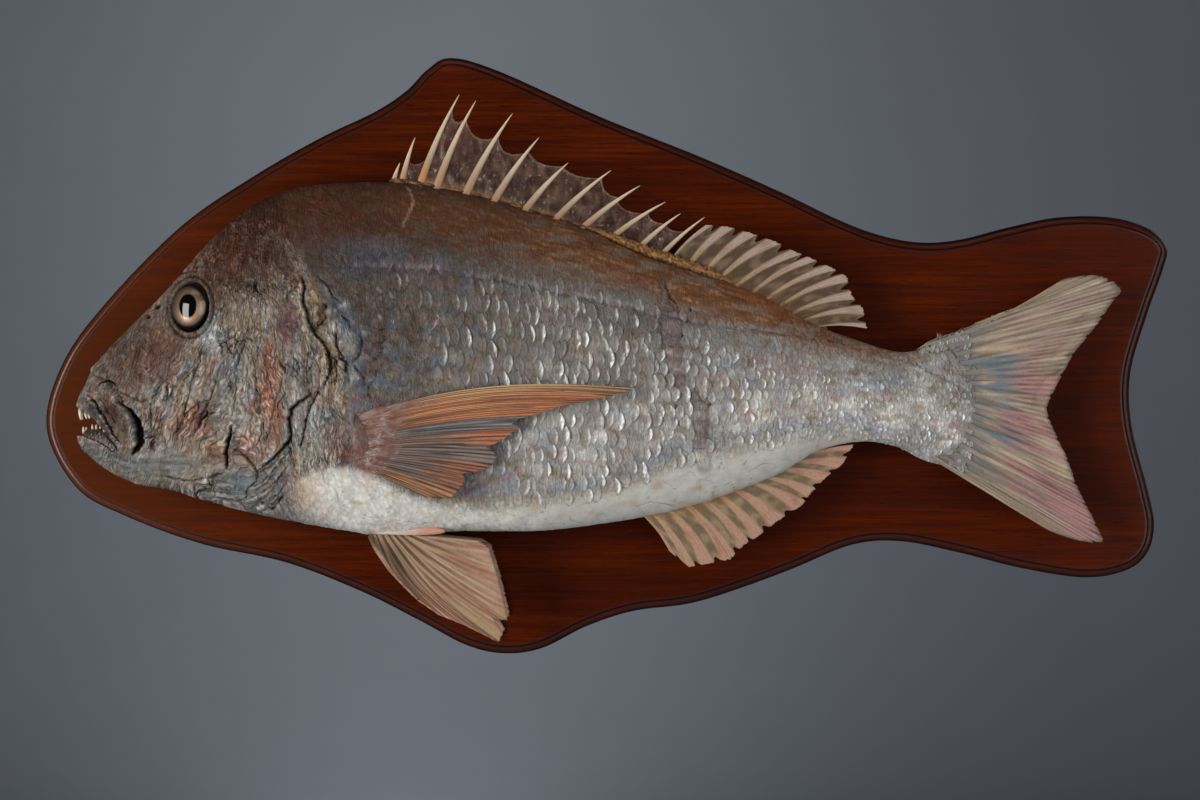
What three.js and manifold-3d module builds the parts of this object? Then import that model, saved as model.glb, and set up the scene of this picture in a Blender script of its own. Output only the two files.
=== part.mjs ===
// A large snapper, prepared as a wall trophy: the body is a carved and skinned form whose far side
// is sawn flat and rests on a wooden board cut to follow the fish. Millimetres, +Z up. The board's
// back lies in the plane y = 0, its front faces -Y, and the head points to -X. The origin is the
// middle of the board's back.
import * as THREE from 'three';
import { mergeVertices } from 'three/addons/utils/BufferGeometryUtils.js';
import Module from 'manifold-3d';

const wasm = await Module();
wasm.setup();

// ---- driving dimensions -------------------------------------------------------------------------
const GAP = 0.35;                  // clearance between neighbouring solids
const CUT = 0.5;                   // width, along x, of the cuts that part the body
const REACH = 700;                 // further than anything extends
const BOARD_FRONT = -20;           // board thickness, as the y of its front face
const MID_Y = -52;                 // the fish's plane of symmetry, in front of the wall
const SEAT_Y = BOARD_FRONT - GAP;  // plane of the sawn flat that rests on the board

// Board outline, clockwise from the blunt end beside the mouth.
const BOARD_OUTLINE = [
  [-449, -58], [-436, -6], [-401, 43], [-341, 104], [-283, 144], [-229, 175], [-187, 195], [-161, 212],
  [-143, 230], [-124, 239], [-85, 228], [-5, 192], [75, 160], [139, 132], [187, 109], [219, 97],
  [251, 91], [283, 93], [323, 103], [363, 111], [405, 111], [436, 102], [450, 87], [447, 69],
  [434, 32], [421, -14], [422, -56], [435, -108], [440, -136], [434, -159], [416, -173], [382, -178],
  [331, -170], [283, -158], [236, -149], [197, -152], [150, -171], [107, -187], [67, -199], [22, -205],
  [-15, -217], [-52, -235], [-83, -239], [-113, -232], [-149, -213], [-197, -189], [-257, -166],
  [-325, -151], [-385, -129], [-425, -106],
];
const BOARD_STEPS = 96;            // points along the outline
// Edge moulding, from the back: [inset from the outline, y]
const BOARD_EDGE = [[0, 0], [0, -11], [2, -15.6], [6.3, -17.4], [6.8, -20]];

// Body lines along x: height of the back and of the belly, half width, height of the widest point.
const BACK = smooth([
  [-420, -40], [-416, -30], [-411, -21], [-405, -8], [-380, 19], [-353, 46], [-335, 66], [-313, 91],
  [-285, 115], [-255, 130], [-220, 136], [-175, 138], [-116, 130], [-68, 117], [-21, 103], [27, 82],
  [74, 66], [122, 49], [160, 28], [193, 15], [232, 4], [262, 7], [280, 10], [294, 10],
]);
const BELLY = smooth([
  [-420, -60], [-417, -71], [-408, -81], [-392, -93], [-369, -103], [-345, -107], [-286, -124],
  [-210, -139], [-175, -145], [-123, -141], [-48, -140], [27, -130], [74, -119], [106, -108],
  [138, -95], [169, -77], [201, -70], [228, -73], [256, -83], [280, -88], [294, -88],
]);
const HALF_WIDTH = smooth([
  [-420, 6], [-414, 12], [-400, 20], [-380, 29], [-322, 45], [-270, 55], [-215, 62], [-120, 64],
  [-5, 58], [114, 40], [193, 24], [248, 12], [294, 5],
]);
const WIDEST_Z = smooth([
  [-420, -50], [-385, -50], [-322, -36], [-215, -30], [-120, -20], [74, -25], [294, -38],
]);
const BACK_POWER = smooth([[-420, 2], [-330, 1.85], [-200, 1.75], [120, 1.8], [294, 2]]);
const BELLY_POWER = smooth([[-420, 2], [-330, 2.2], [-120, 2.1], [294, 2]]);
const RING_POINTS = 30;
// The x of each section of the body, closest where its lines bend most.
const STATIONS = [
  -420, -416, -409, -400, -388, -372, -353, -335, -316, -296, -275, -250, -222, -190, -155, -115, -72,
  -28, 16, 58, 98, 132, 160, 186, 210, 234, 258, 278, 294,
];

// Head divisions in the x-z plane.
const MOUTH = [[-432, -45], [-412, -54], [-400, -57], [-390, -65], [-384, -77], [-388, -79], [-398, -72],
  [-407, -68], [-418, -66], [-432, -66]];
const SNOUT_REACH = 440;           // just ahead of the snout
const MOUTH_LINE = [[-440, -54], [-412, -60], [-400, -65], [-390, -71], [-382, -79]];
const JAW_CREASE = [[-412, -4], [-402, -16], [-391, -24], [-381, -32], [-374, -39], [-370, -48],
  [-369, -58], [-371, -68], [-376, -78]];
const CHEEK_CREASE = [[-374, -86], [-362, -94], [-352, -112]];
const JAW_POCKET = [[-380, -34], [-368, -42], [-364, -56], [-366, -72], [-376, -82], [-384, -72]];
const GILL_COVER = [[-246, 40], [-236, 37], [-229, 24], [-221, 12], [-214, -2], [-212, -14], [-219, -25],
  [-232, -32], [-244, -42], [-247, -60], [-251, -76], [-266, -90], [-286, -94], [-298, -82], [-298, -50],
  [-292, -10], [-286, 14], [-270, 36]];
const GILL_COVER_DEPTH = 6;
const GILL_COVER_SPAN = [-316, -155];  // the stretch of the body whose inner form backs the cover
const SHOULDER = [[-262, 150], [-246, 96], [-232, 44], [-214, 8], [-206, -14], [-214, -30], [-236, -42],
  [-242, -70], [-256, -100], [-262, -150]];
const STALK_LINE = [[160, 200], [160, -200]];
const TAIL_ROOT = [[246, 40], [262, 16], [276, 0], [288, -18], [293, -39], [288, -60], [276, -79],
  [262, -95], [246, -119]];

// Eye: an oval glass dome, turned a little towards the snout.
const EYE = { x: -325, z: 37, y: -81, halfLength: 16, halfHeight: 19, depth: 11, turn: 0.38 };

// Teeth: [x, z of the root, x, z of the point, distance from the middle of the mouth].
const UPPER_TEETH = [[-417, -42, -418, -53, 5], [-413, -48, -414, -57, 9], [-404, -54, -405, -60, 13],
  [-397, -57, -398, -62, 16]];
const LOWER_TEETH = [[-415, -69, -413, -60, 6], [-407, -69, -406, -59, 10], [-401, -72, -399, -62, 14],
  [-395, -75, -393, -66, 17]];

// Spines of the back fin: [x at the root, x and z of the tip].
const DORSAL_SPINES = [
  [-169, -163, 152], [-162, -151, 172], [-148, -116, 206], [-135, -103, 201], [-112, -74, 191],
  [-90, -53, 172], [-66, -30, 152], [-42, 4, 146], [-21, 27, 134], [0, 47, 121], [21, 59, 112],
  [38, 78, 109],
];
const SPINE_RADIUS = 2.4;
const TOOTH_RADIUS = 2;
const SPINE_BOW = 0.06;            // bend of a spine, as a share of its length
const WEB_THINNESS = 0.55;         // thickness of the skin between rays, as a share of the ray's
const THINNEST = 0.9;
const POINT_RADIUS = 0.35;         // roundness of the points of spines and teeth
const ROOT_DEPTH = 5;              // how far below the back the spines start
// The skin between the spines, whose tip line lies at about two thirds of their length.
const SPINY_WEB = {
  root: [[-171, 133], [-112, 126], [-42, 105], [42, 72]],
  tip: [[-165, 146], [-146, 158], [-126, 184], [-104, 182], [-62, 152], [-14, 128], [30, 114], [70, 103]],
  rays: 12, root_thickness: 3.2, tip_thickness: 1.1, notch: 0.12,
};
const SOFT_DORSAL = {
  root: [[47, 72], [104, 53], [160, 25]],
  tip: [[92, 104], [131, 89], [164, 76], [190, 60], [200, 36], [208, 20]],
  rays: 10, root_thickness: 4.5, tip_thickness: 1.2, notch: 0.07,
};
const ANAL_FIN = {
  root: [[24, -126], [84, -112], [142, -86]],
  tip: [[62, -168], [92, -162], [119, -147], [142, -129], [161, -111], [183, -88], [194, -72]],
  rays: 11, root_thickness: 5, tip_thickness: 1.2, notch: 0.08,
};
const TAIL_FIN = {
  root: [[240, 0], [266, -1], [281, -18], [287, -39], [281, -60], [266, -77], [244, -74]],
  tip: [[356, 58], [384, 64], [410, 53], [391, 30], [377, 9], [362, -17], [350, -42], [357, -64],
    [366, -83], [374, -104], [394, -145], [380, -149], [352, -138]],
  rays: 14, root_thickness: 8, tip_thickness: 1.2, notch: 0.03,
};
const PELVIC_FIN = {
  root: [[-184, -140], [-170, -139], [-156, -140]],
  tip: [[-150, -194], [-124, -211], [-85, -227], [-84, -210], [-78, -196], [-89, -166], [-98, -150]],
  rays: 7, root_thickness: 6, tip_thickness: 1.2, notch: 0.05,
};
const PELVIC_SPREAD = 9;           // root of each pelvic fin from the plane of symmetry
const PELVIC_FLARE = 20;           // and how far its tip leans outwards
const PECTORAL_FIN = {
  root: [[-194, -46], [-200, -66], [-194, -86]],
  tip: [[22, -27], [-8, -37], [-52, -49], [-70, -66], [-86, -80], [-98, -92], [-122, -112], [-134, -114]],
  rays: 10, root_thickness: 9, tip_thickness: 1.2, notch: 0.03,
};
const PECTORAL_LIFT = [0.5, 13];   // middle of the fin over the flank, at its root and at its tips

// Countersunk screws that hold the fish from behind the board: [x, z].
const SCREWS = [[-300, 20], [-180, -60], [-150, 80], [30, -20]];
const SCREW = { head: 5, shank: 2.2, sink: 3, length: 44, recess: 0.4, sides: 10 };

// ---- materials ----------------------------------------------------------------------------------
function finish(colour, roughness, metalness = 0) {
  return new THREE.MeshStandardMaterial({ color: colour, roughness, metalness });
}
const WOOD = finish(0x6e3018, 0.42);
const BRASS = finish(0xb08d4a, 0.38, 0.9);
const HEAD_SKIN = finish(0x7a5c4c, 0.5);
const FLANK_SKIN = finish(0x9a9898, 0.42);
const JAW_SKIN = finish(0x85756b, 0.5);
const FIN_SKIN = finish(0xc9946c, 0.55);
const GLASS = finish(0x2a1d14, 0.08);

// ---- curves -------------------------------------------------------------------------------------
// A smooth function through [x, value] pairs whose x increases.
function smooth(points) {
  const slope = points.map((point, i) => {
    const before = points[Math.max(i - 1, 0)];
    const after = points[Math.min(i + 1, points.length - 1)];
    return (after[1] - before[1]) / (after[0] - before[0]);
  });
  return (x) => {
    let i = points.findIndex((point) => point[0] > x) - 1;
    if (i === -2) i = points.length - 2;
    i = Math.max(i, 0);
    const [x0, a] = points[i];
    const [x1, b] = points[i + 1];
    const span = x1 - x0;
    const t = Math.min(Math.max((x - x0) / span, 0), 1);
    const bend = t * (1 - t) * ((1 - t) * (slope[i] * span - (b - a)) + t * ((b - a) - slope[i + 1] * span));
    return a + (b - a) * t + bend;
  };
}

// A path through [x, z] points; at(u) gives the point a share u of its length along.
function path(points) {
  const curve = new THREE.SplineCurve(points.map(([x, z]) => new THREE.Vector2(x, z)));
  return (u) => curve.getPointAt(Math.min(Math.max(u, 0), 1));
}

// ---- solids -------------------------------------------------------------------------------------
function geometry(positions, index) {
  const result = new THREE.BufferGeometry();
  result.setAttribute('position', new THREE.Float32BufferAttribute(positions, 3));
  result.setIndex(index);
  return result;
}

// The solid that a closed geometry bounds. A geometry that is inside out is turned the right way.
function toSolid(source) {
  const bare = source.clone();
  bare.deleteAttribute('normal');
  bare.deleteAttribute('uv');
  const merged = mergeVertices(bare, 1e-4);
  const made = (triVerts) => new wasm.Manifold(new wasm.Mesh({
    numProp: 3,
    vertProperties: Float32Array.from(merged.attributes.position.array),
    triVerts,
  }));
  const triangles = Uint32Array.from(merged.index.array);
  const solid = made(triangles);
  return solid.volume() > 0 ? solid : made(triangles.reverse());
}

function toGeometry(solid) {
  const mesh = solid.getMesh();
  const positions = [];
  for (let i = 0; i < mesh.numVert; i++) {
    for (let k = 0; k < 3; k++) positions.push(mesh.vertProperties[i * mesh.numProp + k]);
  }
  const result = geometry(positions, Array.from(mesh.triVerts));
  result.computeVertexNormals();
  return result;
}

// Joins rings of equal count into a closed body. The first ring turns anticlockwise in the plane
// that flat draws it in.
function ringSolid(rings, flat) {
  const count = rings[0].length;
  const index = [];
  for (let r = 0; r + 1 < rings.length; r++) {
    for (let i = 0; i < count; i++) {
      const a = r * count + i;
      const b = r * count + (i + 1) % count;
      index.push(a, b, b + count, a, b + count, a + count);
    }
  }
  const last = (rings.length - 1) * count;
  for (const [a, b, c] of THREE.ShapeUtils.triangulateShape(rings[0].map(flat), [])) {
    index.push(c, b, a, last + a, last + b, last + c);
  }
  return toSolid(geometry(rings.flat(2), index));
}

// A prism over an x-z outline, from y = front to y = back.
function prism(outline, front = -REACH, back = REACH) {
  const shape = new THREE.Shape(outline.map(([x, z]) => new THREE.Vector2(x, z)));
  const solid = new THREE.ExtrudeGeometry(shape, { depth: back - front, bevelEnabled: false, steps: 1 });
  solid.rotateX(Math.PI / 2);
  solid.translate(0, back, 0);
  return toSolid(solid);
}

// The outline moved outwards by a distance, or inwards if the distance is below zero.
function offset(outline, distance) {
  const points = outline.map(([x, z]) => new THREE.Vector2(x, z));
  const side = THREE.ShapeUtils.isClockWise(points) ? 1 : -1;
  return points.map((point, i) => {
    const before = points[(i + points.length - 1) % points.length];
    const after = points[(i + 1) % points.length];
    const along = after.clone().sub(before).normalize();
    return [point.x - along.y * distance * side, point.y + along.x * distance * side];
  });
}

// The parts of a body before and behind a line that runs from its top to its bottom.
function before(body, line) {
  return body.intersect(prism([...line, [line.at(-1)[0], -REACH], [-REACH, -REACH], [-REACH, REACH],
    [line[0][0], REACH]]));
}
function behind(body, line) {
  const moved = line.map(([x, z]) => [x + CUT, z]);
  return body.intersect(prism([...moved, [moved.at(-1)[0], -REACH], [REACH, -REACH], [REACH, REACH],
    [moved[0][0], REACH]]));
}

// ---- body form ----------------------------------------------------------------------------------
function bodyRing(x, grow) {
  const middle = WIDEST_Z(x);
  return Array.from({ length: RING_POINTS }, (unused, i) => {
    const angle = (i / RING_POINTS) * 2 * Math.PI;
    const up = Math.sin(angle) >= 0;
    const height = (up ? BACK(x) - middle : middle - BELLY(x)) + grow;
    const power = 2 / (up ? BACK_POWER(x) : BELLY_POWER(x));
    const across = Math.sign(Math.cos(angle)) * Math.abs(Math.cos(angle)) ** power;
    const rise = Math.sign(Math.sin(angle)) * Math.abs(Math.sin(angle)) ** power;
    return [x, MID_Y + across * (HALF_WIDTH(x) + grow), middle + rise * height];
  });
}

function bodyForm(grow = 0, [from, to] = [STATIONS[0], STATIONS.at(-1)]) {
  const stations = STATIONS.filter((x) => x >= from && x <= to);
  return ringSolid(stations.map((x) => bodyRing(x, grow)), ([, y, z]) => new THREE.Vector2(y, z));
}

// y of the near flank at a place in the x-z plane.
function flank(x, z) {
  const middle = WIDEST_Z(x);
  const up = z >= middle;
  const height = up ? BACK(x) - middle : middle - BELLY(x);
  const power = up ? BACK_POWER(x) : BELLY_POWER(x);
  const reach = Math.min(Math.abs(z - middle) / height, 1);
  return MID_Y - HALF_WIDTH(x) * (1 - reach ** power) ** (1 / power);
}

// Everything of flesh starts from one form, sawn flat where it meets the board and bored for the
// screws.
function fleshForm() {
  const room = prism([[-REACH, -REACH], [REACH, -REACH], [REACH, REACH], [-REACH, REACH]], -REACH, SEAT_Y);
  return SCREWS.reduce((form, place) => form.subtract(screw(place, GAP)), bodyForm().intersect(room));
}

// ---- fins ---------------------------------------------------------------------------------------
// A closed plate: a grid of columns (rays and the skin between them) and rows from root to tip.
function plate(columns, rows, pointAt, thicknessAt) {
  const positions = [];
  const index = [];
  const sheet = (columns + 1) * (rows + 1);
  for (const side of [-1, 1]) {
    for (let c = 0; c <= columns; c++) {
      for (let r = 0; r <= rows; r++) {
        const [x, y, z] = pointAt(c / columns, r / rows, c);
        positions.push(x, y + side * thicknessAt(r / rows, c) / 2, z);
      }
    }
  }
  const at = (c, r) => c * (rows + 1) + r;
  const quad = (a, b, c, d) => index.push(a, b, c, a, c, d);
  for (let c = 0; c < columns; c++) {
    for (let r = 0; r < rows; r++) {
      quad(at(c, r), at(c, r + 1), at(c + 1, r + 1), at(c + 1, r));
      quad(sheet + at(c, r), sheet + at(c + 1, r), sheet + at(c + 1, r + 1), sheet + at(c, r + 1));
    }
    quad(at(c, 0), at(c + 1, 0), sheet + at(c + 1, 0), sheet + at(c, 0));
    quad(at(c, rows), sheet + at(c, rows), sheet + at(c + 1, rows), at(c + 1, rows));
  }
  for (let r = 0; r < rows; r++) {
    quad(at(0, r), sheet + at(0, r), sheet + at(0, r + 1), at(0, r + 1));
    quad(at(columns, r), at(columns, r + 1), sheet + at(columns, r + 1), sheet + at(columns, r));
  }
  return toSolid(geometry(positions, index));
}

// A fin of soft rays: the odd columns are skin, thinner than the rays and notched at the edge.
// yAt gives the fin's middle at a place in the x-z plane and a share of the way to its tip.
function rayFin(fin, yAt = () => MID_Y, rows = 4) {
  const root = path(fin.root);
  const tip = path(fin.tip);
  const point = (u, v, c) => {
    const reach = v * (c % 2 ? 1 - fin.notch : 1);
    const at = root(u).lerp(tip(u), reach);
    return [at.x, yAt(at.x, at.y, reach), at.y];
  };
  const thickness = (v, c) => {
    const ray = fin.root_thickness + (fin.tip_thickness - fin.root_thickness) * v ** 0.6;
    return c % 2 ? Math.max(ray * WEB_THINNESS, THINNEST) : ray;
  };
  return plate(2 * (fin.rays - 1), rows, point, thickness);
}

// A gently bent, tapering, four-sided spine in the plane y, from root to tip [x, z].
function spine(root, tip, y, radius) {
  const sides = 4;
  const along = new THREE.Vector2(tip[0] - root[0], tip[1] - root[1]);
  const across = new THREE.Vector2(-along.y, along.x).normalize();
  const angles = Array.from({ length: sides }, (unused, i) => (i / sides) * 2 * Math.PI);
  const rings = [0, 0.5, 1].map((t) => {
    const bow = SPINE_BOW * along.length() * 4 * t * (1 - t);
    const r = radius + (POINT_RADIUS - radius) * t;
    return angles.map((angle) => {
      const out = bow + Math.cos(angle) * r;
      return [root[0] + along.x * t + across.x * out, y + Math.sin(angle) * r,
        root[1] + along.y * t + across.y * out];
    });
  });
  return ringSolid(rings, (unused, i) => new THREE.Vector2(Math.cos(angles[i]), Math.sin(angles[i])));
}

// ---- sub-parts ----------------------------------------------------------------------------------
const trophy = new THREE.Group();

function add(name, solid, material) {
  const mesh = new THREE.Mesh(toGeometry(solid), material);
  mesh.name = name;
  trophy.add(mesh);
}

function board() {
  const outline = new THREE.SplineCurve(
    [...BOARD_OUTLINE, BOARD_OUTLINE[0]].map(([x, z]) => new THREE.Vector2(x, z)));
  const edge = outline.getSpacedPoints(BOARD_STEPS).slice(1).reverse().map(({ x, y }) => [x, y]);
  const rings = BOARD_EDGE.map(([inset, y]) => offset(edge, -inset).map(([x, z]) => [x, y, z]));
  const blank = ringSolid(rings, ([x, , z]) => new THREE.Vector2(x, z));
  return SCREWS.reduce((solid, place) => solid.subtract(screw(place, GAP)), blank);
}

// A screw along Y, or the room for one when grow is above zero.
function screw([x, z], grow = 0) {
  const { head, shank, sink, length, recess, sides } = SCREW;
  const top = grow > 0 ? recess : -recess;
  const profile = [[0, -length - grow], [shank + grow, -length - grow],
    [shank + grow, -recess - sink - grow], [head + grow, -recess - grow], [head + grow, top], [0, top]];
  const turned = new THREE.LatheGeometry(profile.map((point) => new THREE.Vector2(...point)), sides);
  turned.translate(x, 0, z);
  return toSolid(turned);
}

function eye(grow = 0) {
  const ball = new THREE.SphereGeometry(1, 14, 9);
  ball.scale(EYE.halfLength + grow, EYE.depth + grow, EYE.halfHeight + grow);
  ball.rotateZ(-EYE.turn);
  ball.translate(EYE.x, EYE.y, EYE.z);
  return toSolid(ball);
}

// The region of the near gill cover, a plate of even thickness below the form's surface.
function gillCoverRegion(grow = 0) {
  return prism(offset(GILL_COVER, grow), -REACH, MID_Y)
    .subtract(bodyForm(-GILL_COVER_DEPTH - grow, GILL_COVER_SPAN));
}

function teeth(jaw, rows) {
  const tooth = ([x0, z0, x1, z1, side], hand) =>
    spine([x0, z0], [x1, z1], MID_Y + hand * side, TOOTH_RADIUS);
  return rows.reduce((solid, row) => solid.add(tooth(row, -1)).add(tooth(row, 1)), jaw);
}

function addHead(front) {
  const upperJaw = [...JAW_CREASE, ...MOUTH_LINE.toReversed(), [-SNOUT_REACH, 10]];
  const lowerJaw = [...MOUTH_LINE, ...CHEEK_CREASE, [CHEEK_CREASE.at(-1)[0], -REACH], [-SNOUT_REACH, -REACH]];
  const open = front.subtract(gillCoverRegion(GAP)).subtract(eye(GAP)).subtract(prism(MOUTH));
  const skull = open.subtract(prism(offset(upperJaw, GAP))).subtract(prism(offset(lowerJaw, GAP)));
  add('head', skull.subtract(prism(JAW_POCKET)), HEAD_SKIN);
  add('gill_cover', form.intersect(gillCoverRegion()), HEAD_SKIN);
  add('upper_jaw', teeth(open.intersect(prism(upperJaw)), UPPER_TEETH), JAW_SKIN);
  add('lower_jaw', teeth(open.intersect(prism(lowerJaw)), LOWER_TEETH), JAW_SKIN);
  add('eye_left', eye(), GLASS);
}

function spinyDorsal() {
  const root = ([x]) => [x, BACK(x) - ROOT_DEPTH];
  const spineAt = (row) => spine(root(row), [row[1], row[2]], MID_Y, SPINE_RADIUS);
  return DORSAL_SPINES.reduce((fin, row) => fin.add(spineAt(row)), rayFin(SPINY_WEB, undefined, 2));
}

function pelvicFin(hand) {
  return rayFin(PELVIC_FIN, (x, z, reach) => MID_Y + hand * (PELVIC_SPREAD + PELVIC_FLARE * reach));
}

// The fin lies along the flank, rising from it towards its tips.
function pectoralFin() {
  const [close, clear] = PECTORAL_LIFT;
  const lie = (x, z, reach) => flank(x, z) - close - (clear - close) * reach;
  return rayFin(PECTORAL_FIN, lie, 5);
}

add('board', board(), WOOD);
SCREWS.forEach((place, i) => add(`screw_${i + 1}`, screw(place), BRASS));

const form = fleshForm();
addHead(before(form, SHOULDER));
const bodyAndTail = behind(form, SHOULDER);
add('trunk', before(bodyAndTail, STALK_LINE), FLANK_SKIN);
add('tail_stalk', before(behind(bodyAndTail, STALK_LINE), TAIL_ROOT), FLANK_SKIN);

const fleshRoom = bodyForm(GAP);
const stalkRoom = before(fleshRoom, TAIL_ROOT.map(([x, z]) => [x + CUT, z]));
add('dorsal_fin_spiny', spinyDorsal().subtract(fleshRoom), FIN_SKIN);
add('dorsal_fin_soft', rayFin(SOFT_DORSAL).subtract(fleshRoom), FIN_SKIN);
add('anal_fin', rayFin(ANAL_FIN).subtract(fleshRoom), FIN_SKIN);
add('tail_fin', rayFin(TAIL_FIN).subtract(stalkRoom), FIN_SKIN);
add('pelvic_fin_left', pelvicFin(-1).subtract(fleshRoom), FIN_SKIN);
add('pelvic_fin_right', pelvicFin(1).subtract(fleshRoom), FIN_SKIN);
add('pectoral_fin_left', pectoralFin().subtract(fleshRoom), FIN_SKIN);

export default trophy;
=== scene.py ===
"""A wall trophy: a large snapper, skinned over a carved form, on its shaped mahogany board.

Shapes are worked out in millimetres in the part's own frame (+Z up, the wall in the plane y = 0, the
fish facing -Y with its head to -X) and go to metres when a mesh is made. Colours are sRGB bytes."""

import math
from itertools import product

import bpy
import numpy as np
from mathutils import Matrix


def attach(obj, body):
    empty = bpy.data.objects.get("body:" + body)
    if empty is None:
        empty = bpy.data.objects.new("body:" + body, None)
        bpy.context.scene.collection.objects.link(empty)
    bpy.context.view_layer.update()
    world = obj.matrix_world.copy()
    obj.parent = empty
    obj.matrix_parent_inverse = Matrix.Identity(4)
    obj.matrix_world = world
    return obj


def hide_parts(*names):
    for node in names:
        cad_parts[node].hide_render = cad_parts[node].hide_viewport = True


MM = 0.001

# ---- camera -------------------------------------------------------------------------------------
CAMERA_PLACE = (-4.8, -2820, -35.6)
LENS = 105                          # on a sensor 36 mm wide

# ---- body form, as in the part's source ---------------------------------------------------------
BOARD_FRONT = -20
MID_Y = -52
SEAT_Y = BOARD_FRONT - 0.35
BACK_POINTS = [
    [-420, -40], [-416, -30], [-411, -21], [-405, -8], [-380, 19], [-353, 46], [-335, 66], [-313, 91],
    [-285, 115], [-255, 130], [-220, 136], [-175, 138], [-116, 130], [-68, 117], [-21, 103], [27, 82],
    [74, 66], [122, 49], [160, 28], [193, 15], [232, 4], [262, 7], [280, 10], [294, 10]]
BELLY_POINTS = [
    [-420, -60], [-417, -71], [-408, -81], [-392, -93], [-369, -103], [-345, -107], [-286, -124],
    [-210, -139], [-175, -145], [-123, -141], [-48, -140], [27, -130], [74, -119], [106, -108],
    [138, -95], [169, -77], [201, -70], [228, -73], [256, -83], [280, -88], [294, -88]]
HALF_WIDTH_POINTS = [
    [-420, 6], [-414, 12], [-400, 20], [-380, 29], [-322, 45], [-270, 55], [-215, 62], [-120, 64],
    [-5, 58], [114, 40], [193, 24], [248, 12], [294, 5]]
WIDEST_Z_POINTS = [[-420, -50], [-385, -50], [-322, -36], [-215, -30], [-120, -20], [74, -25], [294, -38]]
BACK_POWER_POINTS = [[-420, 2], [-330, 1.85], [-200, 1.75], [120, 1.8], [294, 2]]
BELLY_POWER_POINTS = [[-420, 2], [-330, 2.2], [-120, 2.1], [294, 2]]
BOARD_OUTLINE = [
    [-449, -58], [-436, -6], [-401, 43], [-341, 104], [-283, 144], [-229, 175], [-187, 195], [-161, 212],
    [-143, 230], [-124, 239], [-85, 228], [-5, 192], [75, 160], [139, 132], [187, 109], [219, 97],
    [251, 91], [283, 93], [323, 103], [363, 111], [405, 111], [436, 102], [450, 87], [447, 69],
    [434, 32], [421, -14], [422, -56], [435, -108], [440, -136], [434, -159], [416, -173], [382, -178],
    [331, -170], [283, -158], [236, -149], [197, -152], [150, -171], [107, -187], [67, -199], [22, -205],
    [-15, -217], [-52, -235], [-83, -239], [-113, -232], [-149, -213], [-197, -189], [-257, -166],
    [-325, -151], [-385, -129], [-425, -106]]
MOUTH = [[-436, -37], [-424, -39], [-416, -42], [-408, -46], [-400, -53], [-393, -60], [-387, -67],
         [-383, -75], [-386, -77], [-391, -73.5], [-397, -70], [-404, -67], [-411, -64.5],
         [-418, -63.5], [-436, -63]]
EYE = {"x": -325, "z": 37, "y": -81, "half_length": 16, "half_height": 19, "depth": 11, "turn": 0.38,
       "tilt": 0.13}
SCREWS = [[-300, 20], [-180, -60], [-150, 80], [30, -20]]
SCREW_ROOM = {"head": 5.35, "shank": 2.55, "sink": 3, "recess": 0.4}


# ---- numbers ------------------------------------------------------------------------------------
def smooth(points):
    """A smooth function through [x, value] pairs whose x increases, as in the part's source."""
    xs, values = np.array(points, float).T
    slope = np.gradient(values)
    slope[1:-1] = (values[2:] - values[:-2]) / (xs[2:] - xs[:-2])
    slope[0] = (values[1] - values[0]) / (xs[1] - xs[0])
    slope[-1] = (values[-1] - values[-2]) / (xs[-1] - xs[-2])

    def at(x):
        i = np.clip(np.searchsorted(xs, x, side="right") - 1, 0, len(xs) - 2)
        span, rise = xs[i + 1] - xs[i], values[i + 1] - values[i]
        t = np.clip((x - xs[i]) / span, 0, 1)
        bend = t * (1 - t) * ((1 - t) * (slope[i] * span - rise) + t * (rise - slope[i + 1] * span))
        return values[i] + rise * t + bend
    return at


def ramp(value, start, end):
    """0 before start and 1 after end, with a smooth rise between. End may lie below start."""
    t = np.clip((value - start) / (end - start), 0, 1)
    return t * t * (3 - 2 * t)


def mix(a, b, share):
    """Colours a and b blended by a share for each place."""
    share = np.asarray(share)[..., None]
    return a * (1 - share) + b * share


def tone(red, green, blue):
    """The linear colour of three sRGB bytes."""
    c = np.array([red, green, blue]) / 255
    return np.where(c <= 0.04045, c / 12.92, ((c + 0.055) / 1.055) ** 2.4)


def curve(points, step=2.0):
    """A smooth line through the points, resampled about every step."""
    p = np.array(points, float)
    p = np.vstack([2 * p[0] - p[1], p, 2 * p[-1] - p[-2]])
    out = []
    for a, b, c, d in zip(p, p[1:], p[2:], p[3:]):
        count = max(2, int(np.linalg.norm(c - b) / step) + 1)
        t = np.linspace(0, 1, count, endpoint=False)[:, None]
        out.append(0.5 * (2 * b + (c - a) * t + (2 * a - 5 * b + 4 * c - d) * t ** 2
                          + (3 * b - a - 3 * c + d) * t ** 3))
    out.append(p[-2][None])
    return np.vstack(out)


def along(line, share):
    """Points a share of the way along a line."""
    p = np.asarray(line, float)
    run = np.concatenate([[0], np.cumsum(np.linalg.norm(np.diff(p, axis=0), axis=1))])
    return np.stack([np.interp(np.asarray(share) * run[-1], run, c) for c in p.T], -1)


def noise(points, seed=0):
    """Smooth noise, mostly between -1 and 1, at points of three coordinates."""
    rng = np.random.default_rng(seed)
    table = rng.permutation(256)
    slopes = rng.normal(size=(256, 3))
    slopes /= np.linalg.norm(slopes, axis=1)[:, None]
    cell = np.floor(points).astype(int)
    inside = points - cell
    fade = inside ** 3 * (inside * (inside * 6 - 15) + 10)
    total = np.zeros(points.shape[:-1])
    for corner in product((0, 1), repeat=3):
        c = (cell + corner) & 255
        key = table[(table[(table[c[..., 0]] + c[..., 1]) & 255] + c[..., 2]) & 255]
        reach = ((inside - corner) * slopes[key]).sum(-1)
        total += reach * np.prod(np.where(corner, fade, 1 - fade), axis=-1)
    return total * 1.8


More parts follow.
